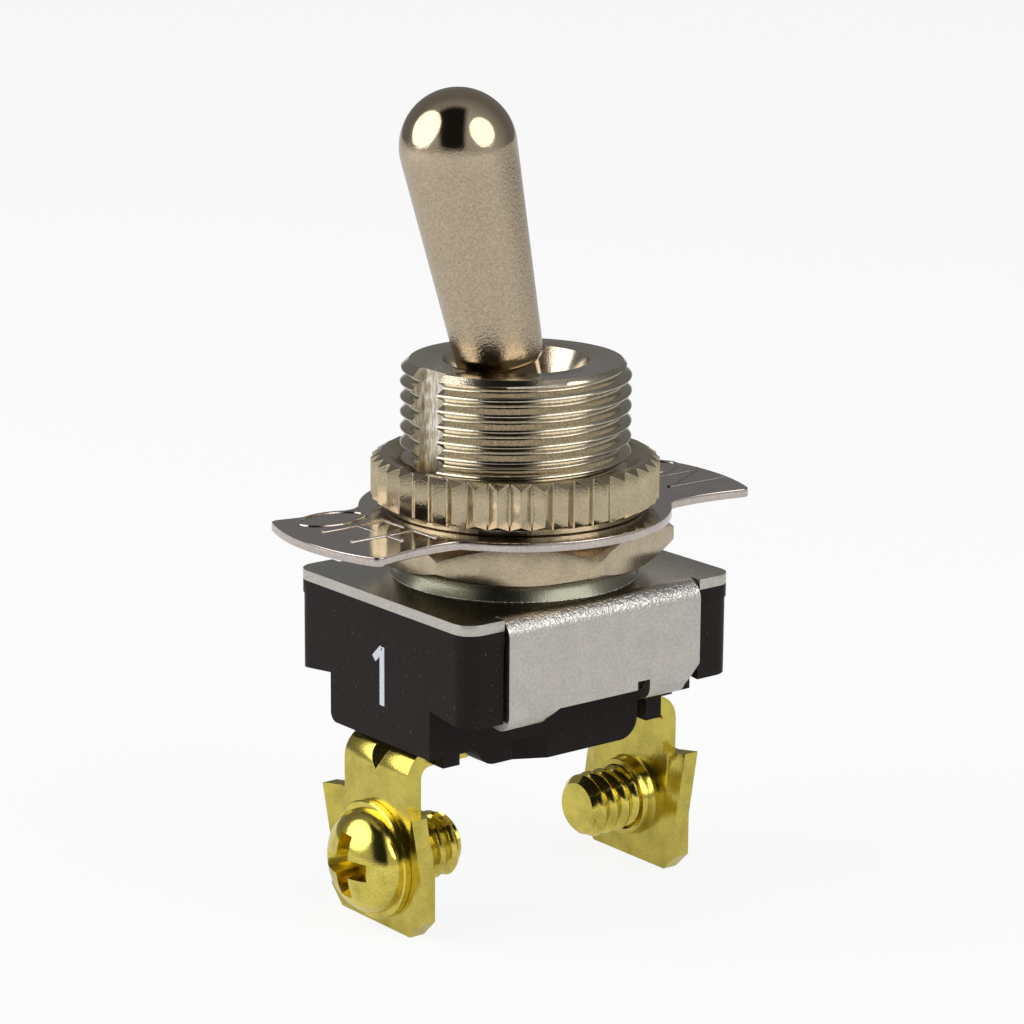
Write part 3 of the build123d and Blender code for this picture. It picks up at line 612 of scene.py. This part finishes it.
def phenolic():
    """Pressed phenolic: near black with slow flow marks and fine pale flecks."""
    base = colour(0.013, 0.011, 0.010)
    finish, shader, paint, place = new_finish("phenolic", base, 0.45, metallic=0.0)
    shader.inputs["Specular IOR Level"].default_value = 0.10
    flecks = paint.noise(place, 0.12, 1).ramp((0.72, 0.0), (0.78, 1.0))
    flow = paint.noise(place, 2.2, 3)
    skin = paint.noise(place, 0.2, 3)
    body = flow.mix(colour(0.010, 0.0075, 0.0065), colour(0.017, 0.0135, 0.012))
    tie(shader, "Base Color", (flecks * 0.6).mix(body, colour(0.13, 0.115, 0.10)))
    tie(shader, "Roughness", flow * 0.20 + 0.36)
    tie(shader, "Normal", bumped(paint, skin, 0.008))
    return finish


# %% [markdown]
# The pieces inside are hardly seen, but the model is opened and moved, so they get plain finishes
# that wander a little. A table then gives every measured node its finish by its slot.

# %% Hidden finishes, and a finish for every node
def plain(name, base, roughness, metallic, grain):
    """A quiet finish for the pieces inside: one colour that wanders a little."""
    finish, shader, paint, place = new_finish(name, base, roughness, metallic)
    blots = paint.noise(place, grain, 3)
    tie(shader, "Base Color", blots.mix(base, shaded(base, 0.7)))
    tie(shader, "Roughness", blots * 0.2 + roughness)
    return finish


finish_of = {
    "nickel_lever": nickel_lever,
    "nickel_thread": nickel_thread,
    "nickel_knurl": nickel_knurl,
    "nickel_nut": nickel_nut,
    "nickel_plate": nickel_plate,
    "zinc_sheet": zinc_sheet(),
    "brass_strip": brass("brass_strip", BRASS, 0.14, 0.30, 0.09, 0.005),
    "brass_screw": brass("brass_screw", shaded(BRASS, 1.25), 0.12, 0.24, 0.09, 0.004),
    "brass_inner": plain("brass_inner", colour(0.62, 0.48, 0.16), 0.3, 1.0, 0.8),
    "phenolic": phenolic(),
    "fibre": plain("fibre", colour(0.16, 0.10, 0.06), 0.7, 0.0, 0.4),
    "hard_steel": plain("hard_steel", colour(0.50, 0.50, 0.51), 0.25, 1.0, 0.5),
    "silver_contact": plain("silver_contact", colour(0.75, 0.74, 0.70), 0.25, 1.0, 0.6),
}
for name, node in frame["nodes"].items():
    for material_slot in node.material_slots:
        material_slot.material = finish_of[slot_of[name]]
print("finishes", len(finish_of))

# %% [markdown]
# The lever is one turned piece: a domed bat, a neck, a ball and a hollow tail. A turned piece is
# a profile spun once round its axis. The profile is drawn round Z and then leaned to the OFF
# side about the pivot, which the lever's joint gives.

# %% Lever
TURN_STEPS = 144
DOME_R = 2.96 * MM
DOME_REACH = 15.8 * MM
FOOT_R = 2.25 * MM
FOOT_REACH = 4.25 * MM
FOOT_ROUND = 0.35 * MM
NECK_R = 1.95 * MM
BALL_R = 3.0 * MM
TAIL_R = 1.9 * MM
TAIL_REACH = 8.0 * MM
TAIL_BORE_R = 1.2 * MM
TAIL_BORE_END = -3.2 * MM


def bow(centre_x, centre_y, radius_x, radius_y, start, end, steps):
    """Points along part of an oval, angles in degrees."""
    for step in range(steps + 1):
        angle = math.radians(start + (end - start) * step / steps)
        yield centre_x + radius_x * math.cos(angle), centre_y + radius_y * math.sin(angle)


def arc(centre_height, radius, start, end, steps):
    """Points (radius, height) on a circle round a point of the axis, angles in degrees."""
    return bow(0, centre_height, radius, radius, start, end, steps)


def turned(points):
    """A closed turned form: a profile of (radius, height) points, spun once round Z."""
    form = bmesh.new()
    corners = [form.verts.new((radius, 0, height)) for radius, height in points]
    edges = [form.edges.new(pair) for pair in zip(corners, corners[1:])]
    bmesh.ops.spin(
        form,
        geom=corners + edges,
        cent=(0, 0, 0),
        axis=(0, 0, 1),
        angle=math.tau,
        steps=TURN_STEPS,
        use_merge=True,
    )
    bmesh.ops.remove_doubles(form, verts=form.verts, dist=MERGE_DISTANCE)
    bmesh.ops.recalc_face_normals(form, faces=form.faces)
    return form


lever_joint = joint_of["lever_toggle"]
pivot = Vector(lever_joint["pos_m"])
lean = math.radians(lever_joint["range_deg"][1]) / 2
neck_angle = math.degrees(math.acos(NECK_R / BALL_R))
tail_angle = math.degrees(math.acos(TAIL_R / BALL_R))
lever_points = [
    *arc(DOME_REACH, DOME_R, 90, 0, 24),
    (FOOT_R + 0.02 * MM, FOOT_REACH + FOOT_ROUND),
    *[
        (FOOT_R - FOOT_ROUND + radius, height)
        for radius, height in arc(FOOT_REACH + FOOT_ROUND, FOOT_ROUND, 0, -90, 6)
    ],
    (NECK_R, FOOT_REACH),
    *arc(0, BALL_R, neck_angle, -tail_angle, 24),
    (TAIL_R, -TAIL_REACH),
    (TAIL_BORE_R, -TAIL_REACH),
    (TAIL_BORE_R, TAIL_BORE_END),
    (0, TAIL_BORE_END),
]
lever_form = turned(lever_points)
shade_smooth(lever_form)
lever_place = Matrix.Translation(pivot) @ Matrix.Rotation(-lean, 4, "Y")
bmesh.ops.transform(lever_form, matrix=lever_place, verts=lever_form.verts)
stand_for(object_from("bat_lever", lever_form), "lever", nickel_lever)

# %% [markdown]
# A thread is a wall whose profile climbs one pitch with every turn. Spin does exactly that when
# each of its small steps also moves the profile up a little. The wall is spun past both ends and
# cut flat there. A profile is a list of points, each with its share of the pitch and how far it
# is sunk. The cut thread is a wave whose points crowd at the crest and the root, where it turns
# most, and the rolled thread has a round crest over a sharp root.

# %% Threaded wall and rings
THREAD_PITCH = 25.4 / 32 * MM
CUT_STEPS = 12
CROWDING = 0.06
ROLLED_STEPS = 6
ROLLED_CREST = 1.7

cut_profile = []
for step in range(CUT_STEPS + 1):
    share = step / CUT_STEPS - CROWDING * math.sin(math.tau * 2 * step / CUT_STEPS)
    cut_profile.append((share, 0.5 + 0.5 * math.cos(math.tau * share)))
rolled_profile = []
for step in range(ROLLED_STEPS + 1):
    share = step / ROLLED_STEPS
    rolled_profile.append((share, abs(2 * share - 1) ** ROLLED_CREST))


def threaded_wall(crest, depth, low, high, steps, outline):
    """A right-hand thread round Z with one pitch's outline, between two flat cuts."""
    form = bmesh.new()
    start = low - 1.5 * THREAD_PITCH
    turns = math.ceil((high - low) / THREAD_PITCH) + 3
    profile = []
    for share, sunk in outline:
        profile.append(form.verts.new((crest - depth * sunk, 0, start + share * THREAD_PITCH)))
    edges = [form.edges.new(pair) for pair in zip(profile, profile[1:])]
    bmesh.ops.spin(
        form,
        geom=profile + edges,
        cent=(0, 0, 0),
        axis=(0, 0, 1),
        dvec=(0, 0, THREAD_PITCH / steps),
        angle=turns * math.tau,
        steps=turns * steps,
    )
    bmesh.ops.remove_doubles(form, verts=form.verts, dist=0.002 * MM)
    for height, side in ((low, -1), (high, 1)):
        bmesh.ops.bisect_plane(
            form,
            geom=form.verts[:] + form.edges[:] + form.faces[:],
            plane_co=(0, 0, height),
            plane_no=(0, 0, side),
            clear_outer=True,
        )
    return form


def rim(form, height):
    """The open edges of a form at one height."""
    near = 0.001 * MM
    return [
        edge
        for edge in form.edges
        if edge.is_boundary and all(abs(vert.co.z - height) < near for vert in edge.verts)
    ]


def grow(form, ring, radius, height):
    """Extrudes a ring of edges to a circle of that radius and height, and returns its edges."""
    made = bmesh.ops.extrude_edge_only(form, edges=ring)["geom"]
    moved = {item for item in made if isinstance(item, bmesh.types.BMVert)}
    for vert in moved:
        across = Vector((vert.co.x, vert.co.y, 0)).normalized() * radius
        vert.co = (across.x, across.y, height)
    return [
        item
        for item in made
        if isinstance(item, bmesh.types.BMEdge) and all(vert in moved for vert in item.verts)
    ]


def cone_limit(form, tip_height, tip_radius, side):
    """Trims a rod's end to a 45 degree cone by pulling in what stands outside it."""
    for vert in form.verts:
        allowed = tip_radius + side * (tip_height - vert.co.z)
        radius = vert.co.xy.length
        if radius > allowed:
            vert.co.xy *= allowed / radius


print("thread pitch", round(THREAD_PITCH / MM, 3), "mm")

# %% [markdown]
# The bushing is turned from bar: threaded outside, bored for the lever's ball inside, and staked
# into the frame at its foot. Its surfaces grow from the thread's two cut edges, ring by ring:
# across the top, down the mouth and the ball's seat, and back out under the frame. A keyway is
# cut down the OFF side last, as on the real one, so that it runs through every thread.

# %% Bushing
THREAD_CREST = 5.95 * MM
THREAD_DEPTH = 0.47 * MM
TOP_CHAMFER = 0.45 * MM
MOUTH_R = 3.75 * MM
MOUTH_EDGE = 0.06 * MM
SEAT_R = 3.06 * MM
SEAT_DEPTH = 1.4 * MM
BORE_BOTTOM_R = 4.1 * MM
SPIGOT_R = 5.0 * MM
STAKE_R = 5.35 * MM
STAKE_TOP = 0.4 * MM
THREAD_LOW = 0.95 * MM
KEYWAY_WIDTH = 2.0 * MM
KEYWAY_DEPTH = 0.75 * MM
BUSHING_STEPS = 180

bushing_low, bushing_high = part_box("bushing")
bushing_form = threaded_wall(
    THREAD_CREST, THREAD_DEPTH, THREAD_LOW, bushing_high.z, BUSHING_STEPS, cut_profile
)
cone_limit(bushing_form, bushing_high.z, THREAD_CREST - TOP_CHAMFER, 1)
foot_rim = rim(bushing_form, THREAD_LOW)
ring = rim(bushing_form, bushing_high.z)
throat_angle = math.degrees(math.asin(SEAT_DEPTH / SEAT_R))
bushing_path = [
    (MOUTH_R + MOUTH_EDGE, bushing_high.z),
    (MOUTH_R + MOUTH_EDGE * 0.3, bushing_high.z - MOUTH_EDGE * 0.3),
    (MOUTH_R, bushing_high.z - MOUTH_EDGE),
    *arc(pivot.z, SEAT_R, throat_angle, 0, 5),
    (BORE_BOTTOM_R, bushing_low.z),
    (STAKE_R, bushing_low.z),
    (STAKE_R, STAKE_TOP),
    (SPIGOT_R, STAKE_TOP),
    (SPIGOT_R, THREAD_LOW),
]
for radius, height in bushing_path:
    ring = grow(bushing_form, ring, radius, height)
bmesh.ops.bridge_loops(bushing_form, edges=ring + foot_rim)
bmesh.ops.recalc_face_normals(bushing_form, faces=bushing_form.faces)
bushing = object_from("threaded_bushing", bushing_form)

keyway_form = bmesh.new()
bmesh.ops.create_cube(keyway_form, size=1)
keyway_height = 2 * (bushing_high.z - THREAD_LOW)
bmesh.ops.scale(
    keyway_form,
    vec=(2 * KEYWAY_DEPTH, KEYWAY_WIDTH, keyway_height),
    verts=keyway_form.verts,
)
bmesh.ops.translate(
    keyway_form,
    vec=(-THREAD_CREST, 0, THREAD_LOW + keyway_height / 2),
    verts=keyway_form.verts,
)
cut_away(bushing, object_from("keyway_cutter", keyway_form))
reshade(bushing)
stand_for(bushing, "bushing", nickel_thread)

# %% [markdown]
# The knurled nut and the hex nut are rings too, but their outlines aren't round. Each starts
# from a circle, and each further ring is placed by a function of the angle. Where the chamfer
# cuts an outline, its height falls as its radius grows, so the cut edges come out curved by
# themselves.

# %% Rings with any outline
NUT_BORE_R = 5.73 * MM
CHAMFER_SLOPE = math.tan(math.radians(30))
SOFT_EDGE = 0.05 * MM


def edge_key(vert):
    """A vertex's place, rounded, which an extruded copy shares before it moves."""
    return tuple(round(part / (0.0001 * MM)) for part in vert.co)


def lathe_rings(segments, rings):
    """A ring-shaped solid: each ring is a function from a segment's number to its point."""
    form = bmesh.new()
    bmesh.ops.create_circle(form, segments=segments, radius=NUT_BORE_R)
    ring = form.edges[:]
    number = {}
    for vert in form.verts:
        turn = math.atan2(vert.co.y, vert.co.x) / math.tau
        number[vert] = round(turn * segments) % segments
        vert.co = rings[0](number[vert])
    for place in rings[1:]:
        before = {edge_key(vert): number[vert] for edge in ring for vert in edge.verts}
        made = bmesh.ops.extrude_edge_only(form, edges=ring)["geom"]
        moved = {item for item in made if isinstance(item, bmesh.types.BMVert)}
        for vert in moved:
            number[vert] = before[edge_key(vert)]
        for vert in moved:
            vert.co = place(number[vert])
        ring = [
            item
            for item in made
            if isinstance(item, bmesh.types.BMEdge) and all(vert in moved for vert in item.verts)
        ]
    bmesh.ops.remove_doubles(form, verts=form.verts, dist=MERGE_DISTANCE)
    bmesh.ops.recalc_face_normals(form, faces=form.faces)
    return form


def polar(radius, turn, height):
    return Vector((radius * math.cos(turn), radius * math.sin(turn), height))


def plain_ring(radius, height, turn_of):
    """A round ring whose points stand beside the outline's."""
    def place(number):
        return polar(radius, turn_of(number)[1], height)
    return place


def soften(form, sharper_than, beyond, width):
    """Bevels the sharp edges that lie wholly outside a radius."""
    edges = [
        edge
        for edge in form.edges
        if edge.calc_face_angle(0) > sharper_than
        and all(vert.co.xy.length > beyond for vert in edge.verts)
    ]
    bmesh.ops.bevel(
        form,
        geom=edges,
        offset=width,
        segments=2,
        profile=0.5,
        affect="EDGES",
        material=-1,
        clamp_overlap=True,
    )


# %% [markdown]
# The ring nut's teeth are straight, with a narrow crest and a wide root, and chamfered at both
# faces. A plain ring under them seats on the plate. A hair-thin bevel along every tooth gives the
# bright lines of a burnished knurl.

# %% Knurled nut
KNURL_TEETH = 40
KNURL_R = 7.45 * MM
KNURL_DEPTH = 0.45 * MM
KNURL_THICKNESS = 2.4 * MM
CREST_TURN = math.radians(0.32)
ROOT_TURN = math.radians(4.1)
SEAT_RING_R = 6.75 * MM
COUNTERSINK = 0.8 * MM
CREST_ANGLE = math.radians(25)
CREST_ROUND = 0.018 * MM
KNURL_SHARP = math.radians(24)

nut_low, nut_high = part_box("knurled_nut")
valley_r = KNURL_R - KNURL_DEPTH
knurl_low = nut_high.z - KNURL_THICKNESS


def knurl_point(number):
    """Radius and turn of one of a tooth's four corners: two at its crest, two at its root."""
    tooth, corner = divmod(number, 4)
    offset = (-CREST_TURN, CREST_TURN, ROOT_TURN, math.tau / KNURL_TEETH - ROOT_TURN)[corner]
    return (KNURL_R if corner < 2 else valley_r), tooth * math.tau / KNURL_TEETH + offset


def knurl_ring(height, side):
    """The toothed outline, chamfered upwards or downwards from a face's height."""
    def place(number):
        radius, turn = knurl_point(number)
        return polar(radius, turn, height - side * (radius - valley_r) * CHAMFER_SLOPE)
    return place


def beside_teeth(radius, height):
    return plain_ring(radius, height, knurl_point)


knurl_form = lathe_rings(4 * KNURL_TEETH, [
    beside_teeth(NUT_BORE_R, nut_low.z),
    beside_teeth(SEAT_RING_R - SOFT_EDGE, nut_low.z),
    beside_teeth(SEAT_RING_R, nut_low.z + SOFT_EDGE),
    beside_teeth(SEAT_RING_R, knurl_low),
    beside_teeth(valley_r - SOFT_EDGE, knurl_low),
    knurl_ring(knurl_low, -1),
    knurl_ring(nut_high.z, 1),
    beside_teeth(valley_r - SOFT_EDGE, nut_high.z),
    beside_teeth(NUT_BORE_R + COUNTERSINK + SOFT_EDGE, nut_high.z),
    beside_teeth(NUT_BORE_R + COUNTERSINK - SOFT_EDGE, nut_high.z - SOFT_EDGE),
    beside_teeth(NUT_BORE_R, nut_high.z - COUNTERSINK),
    beside_teeth(NUT_BORE_R, nut_low.z),
])
soften(knurl_form, CREST_ANGLE, valley_r - SOFT_EDGE / 2, CREST_ROUND)
shade_smooth(knurl_form, KNURL_SHARP)
stand_for(object_from("ring_nut", knurl_form), "knurled_nut", nickel_knurl)

# %% [markdown]
# The back nut is cut from hexagonal bar. Its faces are chamfered, so each flat ends in an arc,
# and its six corners are rounded a little.

# %% Hex nut
HEX_FLATS = 14.29 * MM
HEX_TURN = math.radians(23.1)
HEX_FACE_R = 7.05 * MM
HEX_SEGMENTS = 120
CORNER_ANGLE = math.radians(20)
CORNER_ROUND = 0.04 * MM
HEX_SHARP = math.radians(18)

hex_low, hex_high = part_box("hex_nut")


def hex_point(number):
    """Radius and turn of a point on the hexagon, with one point on each corner."""
    turn = number * math.tau / HEX_SEGMENTS
    from_middle = turn % (math.tau / 6) - math.tau / 12
    return HEX_FLATS / 2 / math.cos(from_middle), turn + HEX_TURN


def hex_ring(height, side):
    """The hexagon, chamfered upwards or downwards from a face's height."""
    def place(number):
        radius, turn = hex_point(number)
        return polar(radius, turn, height - side * (radius - HEX_FACE_R) * CHAMFER_SLOPE)
    return place


hex_form = lathe_rings(HEX_SEGMENTS, [
    plain_ring(NUT_BORE_R, hex_low.z, hex_point),
    plain_ring(HEX_FACE_R, hex_low.z, hex_point),
    hex_ring(hex_low.z, -1),
    hex_ring(hex_high.z, 1),
    plain_ring(HEX_FACE_R, hex_high.z, hex_point),
    plain_ring(NUT_BORE_R, hex_high.z, hex_point),
    plain_ring(NUT_BORE_R, hex_low.z, hex_point),
])
soften(hex_form, CORNER_ANGLE, HEX_FACE_R + SOFT_EDGE, CORNER_ROUND)
shade_smooth(hex_form, HEX_SHARP)
stand_for(object_from("back_nut", hex_form), "hex_nut", nickel_nut)

# %% [markdown]
# Sheet and moulded pieces keep the measured form. What they lack is the small round on every
# edge, which is what catches the light on a real piece. A copy of the measured mesh is merged,
# its flat faces are made whole again, and its sharp edges get a narrow bevel.

# %% Copies with rounded edges
FLAT_ANGLE = math.radians(0.6)
ROUNDED_FROM = math.radians(24)


def rounded_copy(name, node, width):
    """A copy of a measured node whose sharp edges are rounded by width millimetres."""
    form = bmesh.new()
    form.from_mesh(frame["nodes"][node].data)
    bmesh.ops.remove_doubles(form, verts=form.verts, dist=MERGE_DISTANCE)
    bmesh.ops.dissolve_limit(
        form,
        angle_limit=FLAT_ANGLE,
        verts=form.verts,
        edges=form.edges,
    )
    edges = [edge for edge in form.edges if edge.calc_face_angle(0) > ROUNDED_FROM]
    bmesh.ops.bevel(
        form,
        geom=edges,
        offset=width * MM,
        segments=2,
        profile=0.5,
        affect="EDGES",
        material=-1,
        clamp_overlap=True,
    )
    shade_smooth(form)
    piece = object_from(name, form)
    piece.modifiers.new("weighted", "WEIGHTED_NORMAL").keep_sharp = True
    stand_for(piece, node, finish_of[slot_of[node]])


rounded_copy("frame_sheet", "frame", 0.07)
rounded_copy("moulded_base", "base", 0.10)
rounded_copy("marker_plate", "indicator_plate", 0.06)
rounded_copy("strip_terminal_off", "terminal_off", 0.06)
rounded_copy("strip_terminal_on", "terminal_on", 0.06)
rounded_copy("rivet_on", "cradle_rivet", 0.03)
rounded_copy("rivet_off", "fixed_contact", 0.03)

# %% [markdown]
# A terminal screw is a threaded shank, a flange and a round head with a cross recess. The shank
# is the same kind of threaded wall as the bushing's. Its upper rim grows out into the flange and
# the dome, and its lower rim closes to a flat tip. Two tapered bars cut the cross.

# %% Terminal screws
SCREW_CREST = 1.75 * MM
SCREW_DEPTH = 0.36 * MM
SCREW_LENGTH = 4.53 * MM
TIP_R = 1.3 * MM
FLANGE_R = 3.1 * MM
FLANGE_THICKNESS = 0.45 * MM
HEAD_R = 2.75 * MM
HEAD_HEIGHT = 1.75 * MM
RECESS_LENGTH = 3.5 * MM
RECESS_WIDTH = 0.95 * MM
RECESS_DEPTH = 1.35 * MM
RECESS_TAPER = 0.62
RECESS_FLARE = 1.12
RECESS_REACH = 1.3
SCREW_EDGE = 0.07 * MM
SCREW_STEPS = 72
POLE_R = 0.02 * MM


def recess_bar(length, width, top):
    """One tapered bar of the cross, standing in the head from its top down."""
    form = bmesh.new()
    bmesh.ops.create_cube(form, size=1)
    for vert in form.verts:
        share = RECESS_TAPER if vert.co.z < 0 else RECESS_FLARE
        vert.co = (
            vert.co.x * length * share,
            vert.co.y * width * share,
            top - RECESS_DEPTH / 2 + vert.co.z * RECESS_DEPTH * RECESS_REACH,
        )
    return form


def terminal_screw(name, node, outwards):
    """A screw whose head faces outwards along X, in place of a measured one."""
    form = threaded_wall(SCREW_CREST, SCREW_DEPTH, -SCREW_LENGTH, 0, SCREW_STEPS, rolled_profile)
    cone_limit(form, -SCREW_LENGTH, TIP_R, -1)
    tip = rim(form, -SCREW_LENGTH)
    ring = rim(form, 0)
    top = FLANGE_THICKNESS + HEAD_HEIGHT
    head = [
        (FLANGE_R - SCREW_EDGE, 0),
        (FLANGE_R, SCREW_EDGE),
        (FLANGE_R, FLANGE_THICKNESS - SCREW_EDGE),
        (FLANGE_R - SCREW_EDGE, FLANGE_THICKNESS),
        (HEAD_R, FLANGE_THICKNESS),
        *bow(0, FLANGE_THICKNESS, HEAD_R, HEAD_HEIGHT, 4, 84, 10),
        (POLE_R, top),
    ]
    for radius, height in head:
        ring = grow(form, ring, radius, height)
    bmesh.ops.holes_fill(form, edges=ring)
    tip = grow(form, tip, POLE_R, -SCREW_LENGTH)
    bmesh.ops.holes_fill(form, edges=tip)
    bmesh.ops.recalc_face_normals(form, faces=form.faces)
    screw = object_from(name, form)
    for length, width in ((RECESS_LENGTH, RECESS_WIDTH), (RECESS_WIDTH, RECESS_LENGTH)):
        cut_away(screw, object_from("recess_cutter", recess_bar(length, width, top)))
    low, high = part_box(node)
    centre = (low + high) / 2
    seat = (low.x if outwards < 0 else high.x) - outwards * top
    turn = Matrix.Rotation(outwards * math.pi / 2, 4, "Y")
    screw.data.transform(Matrix.Translation((seat, centre.y, centre.z)) @ turn)
    reshade(screw)
    stand_for(screw, node, finish_of["brass_screw"])


terminal_screw("screw_off_end", "terminal_screw_off", -1)
terminal_screw("screw_on_end", "terminal_screw_on", 1)

# %% [markdown]
# The plate's words are struck into the sheet by a punch whose letters are plain lines, and the
# ends of the base carry terminal numbers in white ink. Both are drawn as strokes: a curve through
# a few points with a round profile, pressed flat, gives the raised bead of a struck letter, and
# pressed flatter still the thin domed film of a pad print. An outline font has heavier limbs than
# such a punch, so none is used.

# %% Strokes of the letters and numbers
STROKE_SHARP = math.radians(50)
strokes_of = {
    "O": [list(bow(0.30, 0.5, 0.30, 0.5, 90, 450, 40))],
    "F": [[(0, 0), (0, 1)], [(0, 1), (0.47, 1)], [(0, 0.56), (0.34, 0.56)]],
    "N": [[(0, 0), (0, 1)], [(0, 1), (0.55, 0)], [(0.55, 0), (0.55, 1)]],
    "1": [[(0.24, 0), (0.24, 1)], [(0.24, 0.97), (0.02, 0.76)]],
    "2": [[*bow(0.27, 0.72, 0.26, 0.26, 165, -35, 16), (0.02, 0.02)], [(0, 0.02), (0.56, 0.02)]],
}


def struck(name, letters, height, half_width, flatness, place):
    """Letters, each with its place along the line, as strokes laid flat on a surface."""
    drawing = bpy.data.curves.new(name, "CURVE")
    drawing.dimensions = "3D"
    drawing.bevel_depth = half_width * MM
    drawing.bevel_resolution = 3
    drawing.use_fill_caps = True
    for letter, along in letters:
        for stroke in strokes_of[letter]:
            spline = drawing.splines.new("POLY")
            spline.points.add(len(stroke) - 1)
            for point, (across, up) in zip(spline.points, stroke):
                point.co = ((along + across * height) * MM, up * height * MM, 0, 1)
    holder = bpy.data.objects.new(name + "_drawing", drawing)
    bpy.context.scene.collection.objects.link(holder)
    bpy.context.view_layer.update()
    evaluated = holder.evaluated_get(bpy.context.evaluated_depsgraph_get())
    mesh = bpy.data.meshes.new_from_object(evaluated)
    bpy.data.objects.remove(holder)
    mesh.transform(place @ Matrix.Diagonal((1, 1, flatness, 1)))
    piece = bpy.data.objects.new(name, mesh)
    bpy.context.scene.collection.objects.link(piece)
    reshade(piece, STROKE_SHARP)
    return piece


# %% [markdown]
# Both words are read from the OFF end, so their tops are towards the ON end. They sit a hair
# into the plate, as a bead that the punch has raised, and take the plate's own nickel.

# %% Words on the plate
plate_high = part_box("indicator_plate")[1]
LETTER_HEIGHT = 3.8
LETTER_HALF_STROKE = 0.12
LETTER_FLATNESS = 0.75
LETTER_SINK = 0.01 * MM
towards_on = Matrix.Rotation(-math.pi / 2, 4, "Z")
words = {
    "word_off": (-11.3, [("O", -4.2), ("F", -1.15), ("F", 1.3)]),
    "word_on": (8.85, [("O", -3.2), ("N", -0.2)]),
}
for name, (foot, letters) in words.items():
    spot = Matrix.Translation((foot * MM, 0, plate_high.z - LETTER_SINK)) @ towards_on
    word = struck(name, letters, LETTER_HEIGHT, LETTER_HALF_STROKE, LETTER_FLATNESS, spot)
    add_to(word, "body", nickel_plate)

# %% [markdown]
# Each end of the base carries its terminal's number in white ink that has soaked in unevenly, so
# its colour has a fine grain. The film is about a hundredth of a millimetre thick. The ON end
# steps in low down, so its number stands higher than the other.

# %% Numbers on the base
ink, ink_shader, ink_paint, ink_place = new_finish("white_ink", colour(0.66, 0.68, 0.76), 0.5, 0.0)
ink_grain = ink_paint.noise(ink_place, 0.15, 2)
tie(ink_shader, "Base Color", ink_grain.mix(colour(0.50, 0.52, 0.62), colour(0.78, 0.79, 0.83)))
BASE_END = 8.7 * MM
NUMBER_HEIGHT = 3.1
NUMBER_HALF_STROKE = 0.2
NUMBER_FLATNESS = 0.06
numbers = {
    "number_off": ("1", -0.5, -5.7, -1),
    "number_on": ("2", -0.87, -4.9, 1),
}
for name, (number, along, foot, end) in numbers.items():
    upright = Matrix.Rotation(end * math.pi / 2, 4, "Z") @ Matrix.Rotation(math.pi / 2, 4, "X")
    spot = Matrix.Translation((end * BASE_END, 0, foot * MM)) @ upright
    mark = struck(name, [(number, along)], NUMBER_HEIGHT, NUMBER_HALF_STROKE, NUMBER_FLATNESS, spot)
    add_to(mark, "body", ink)
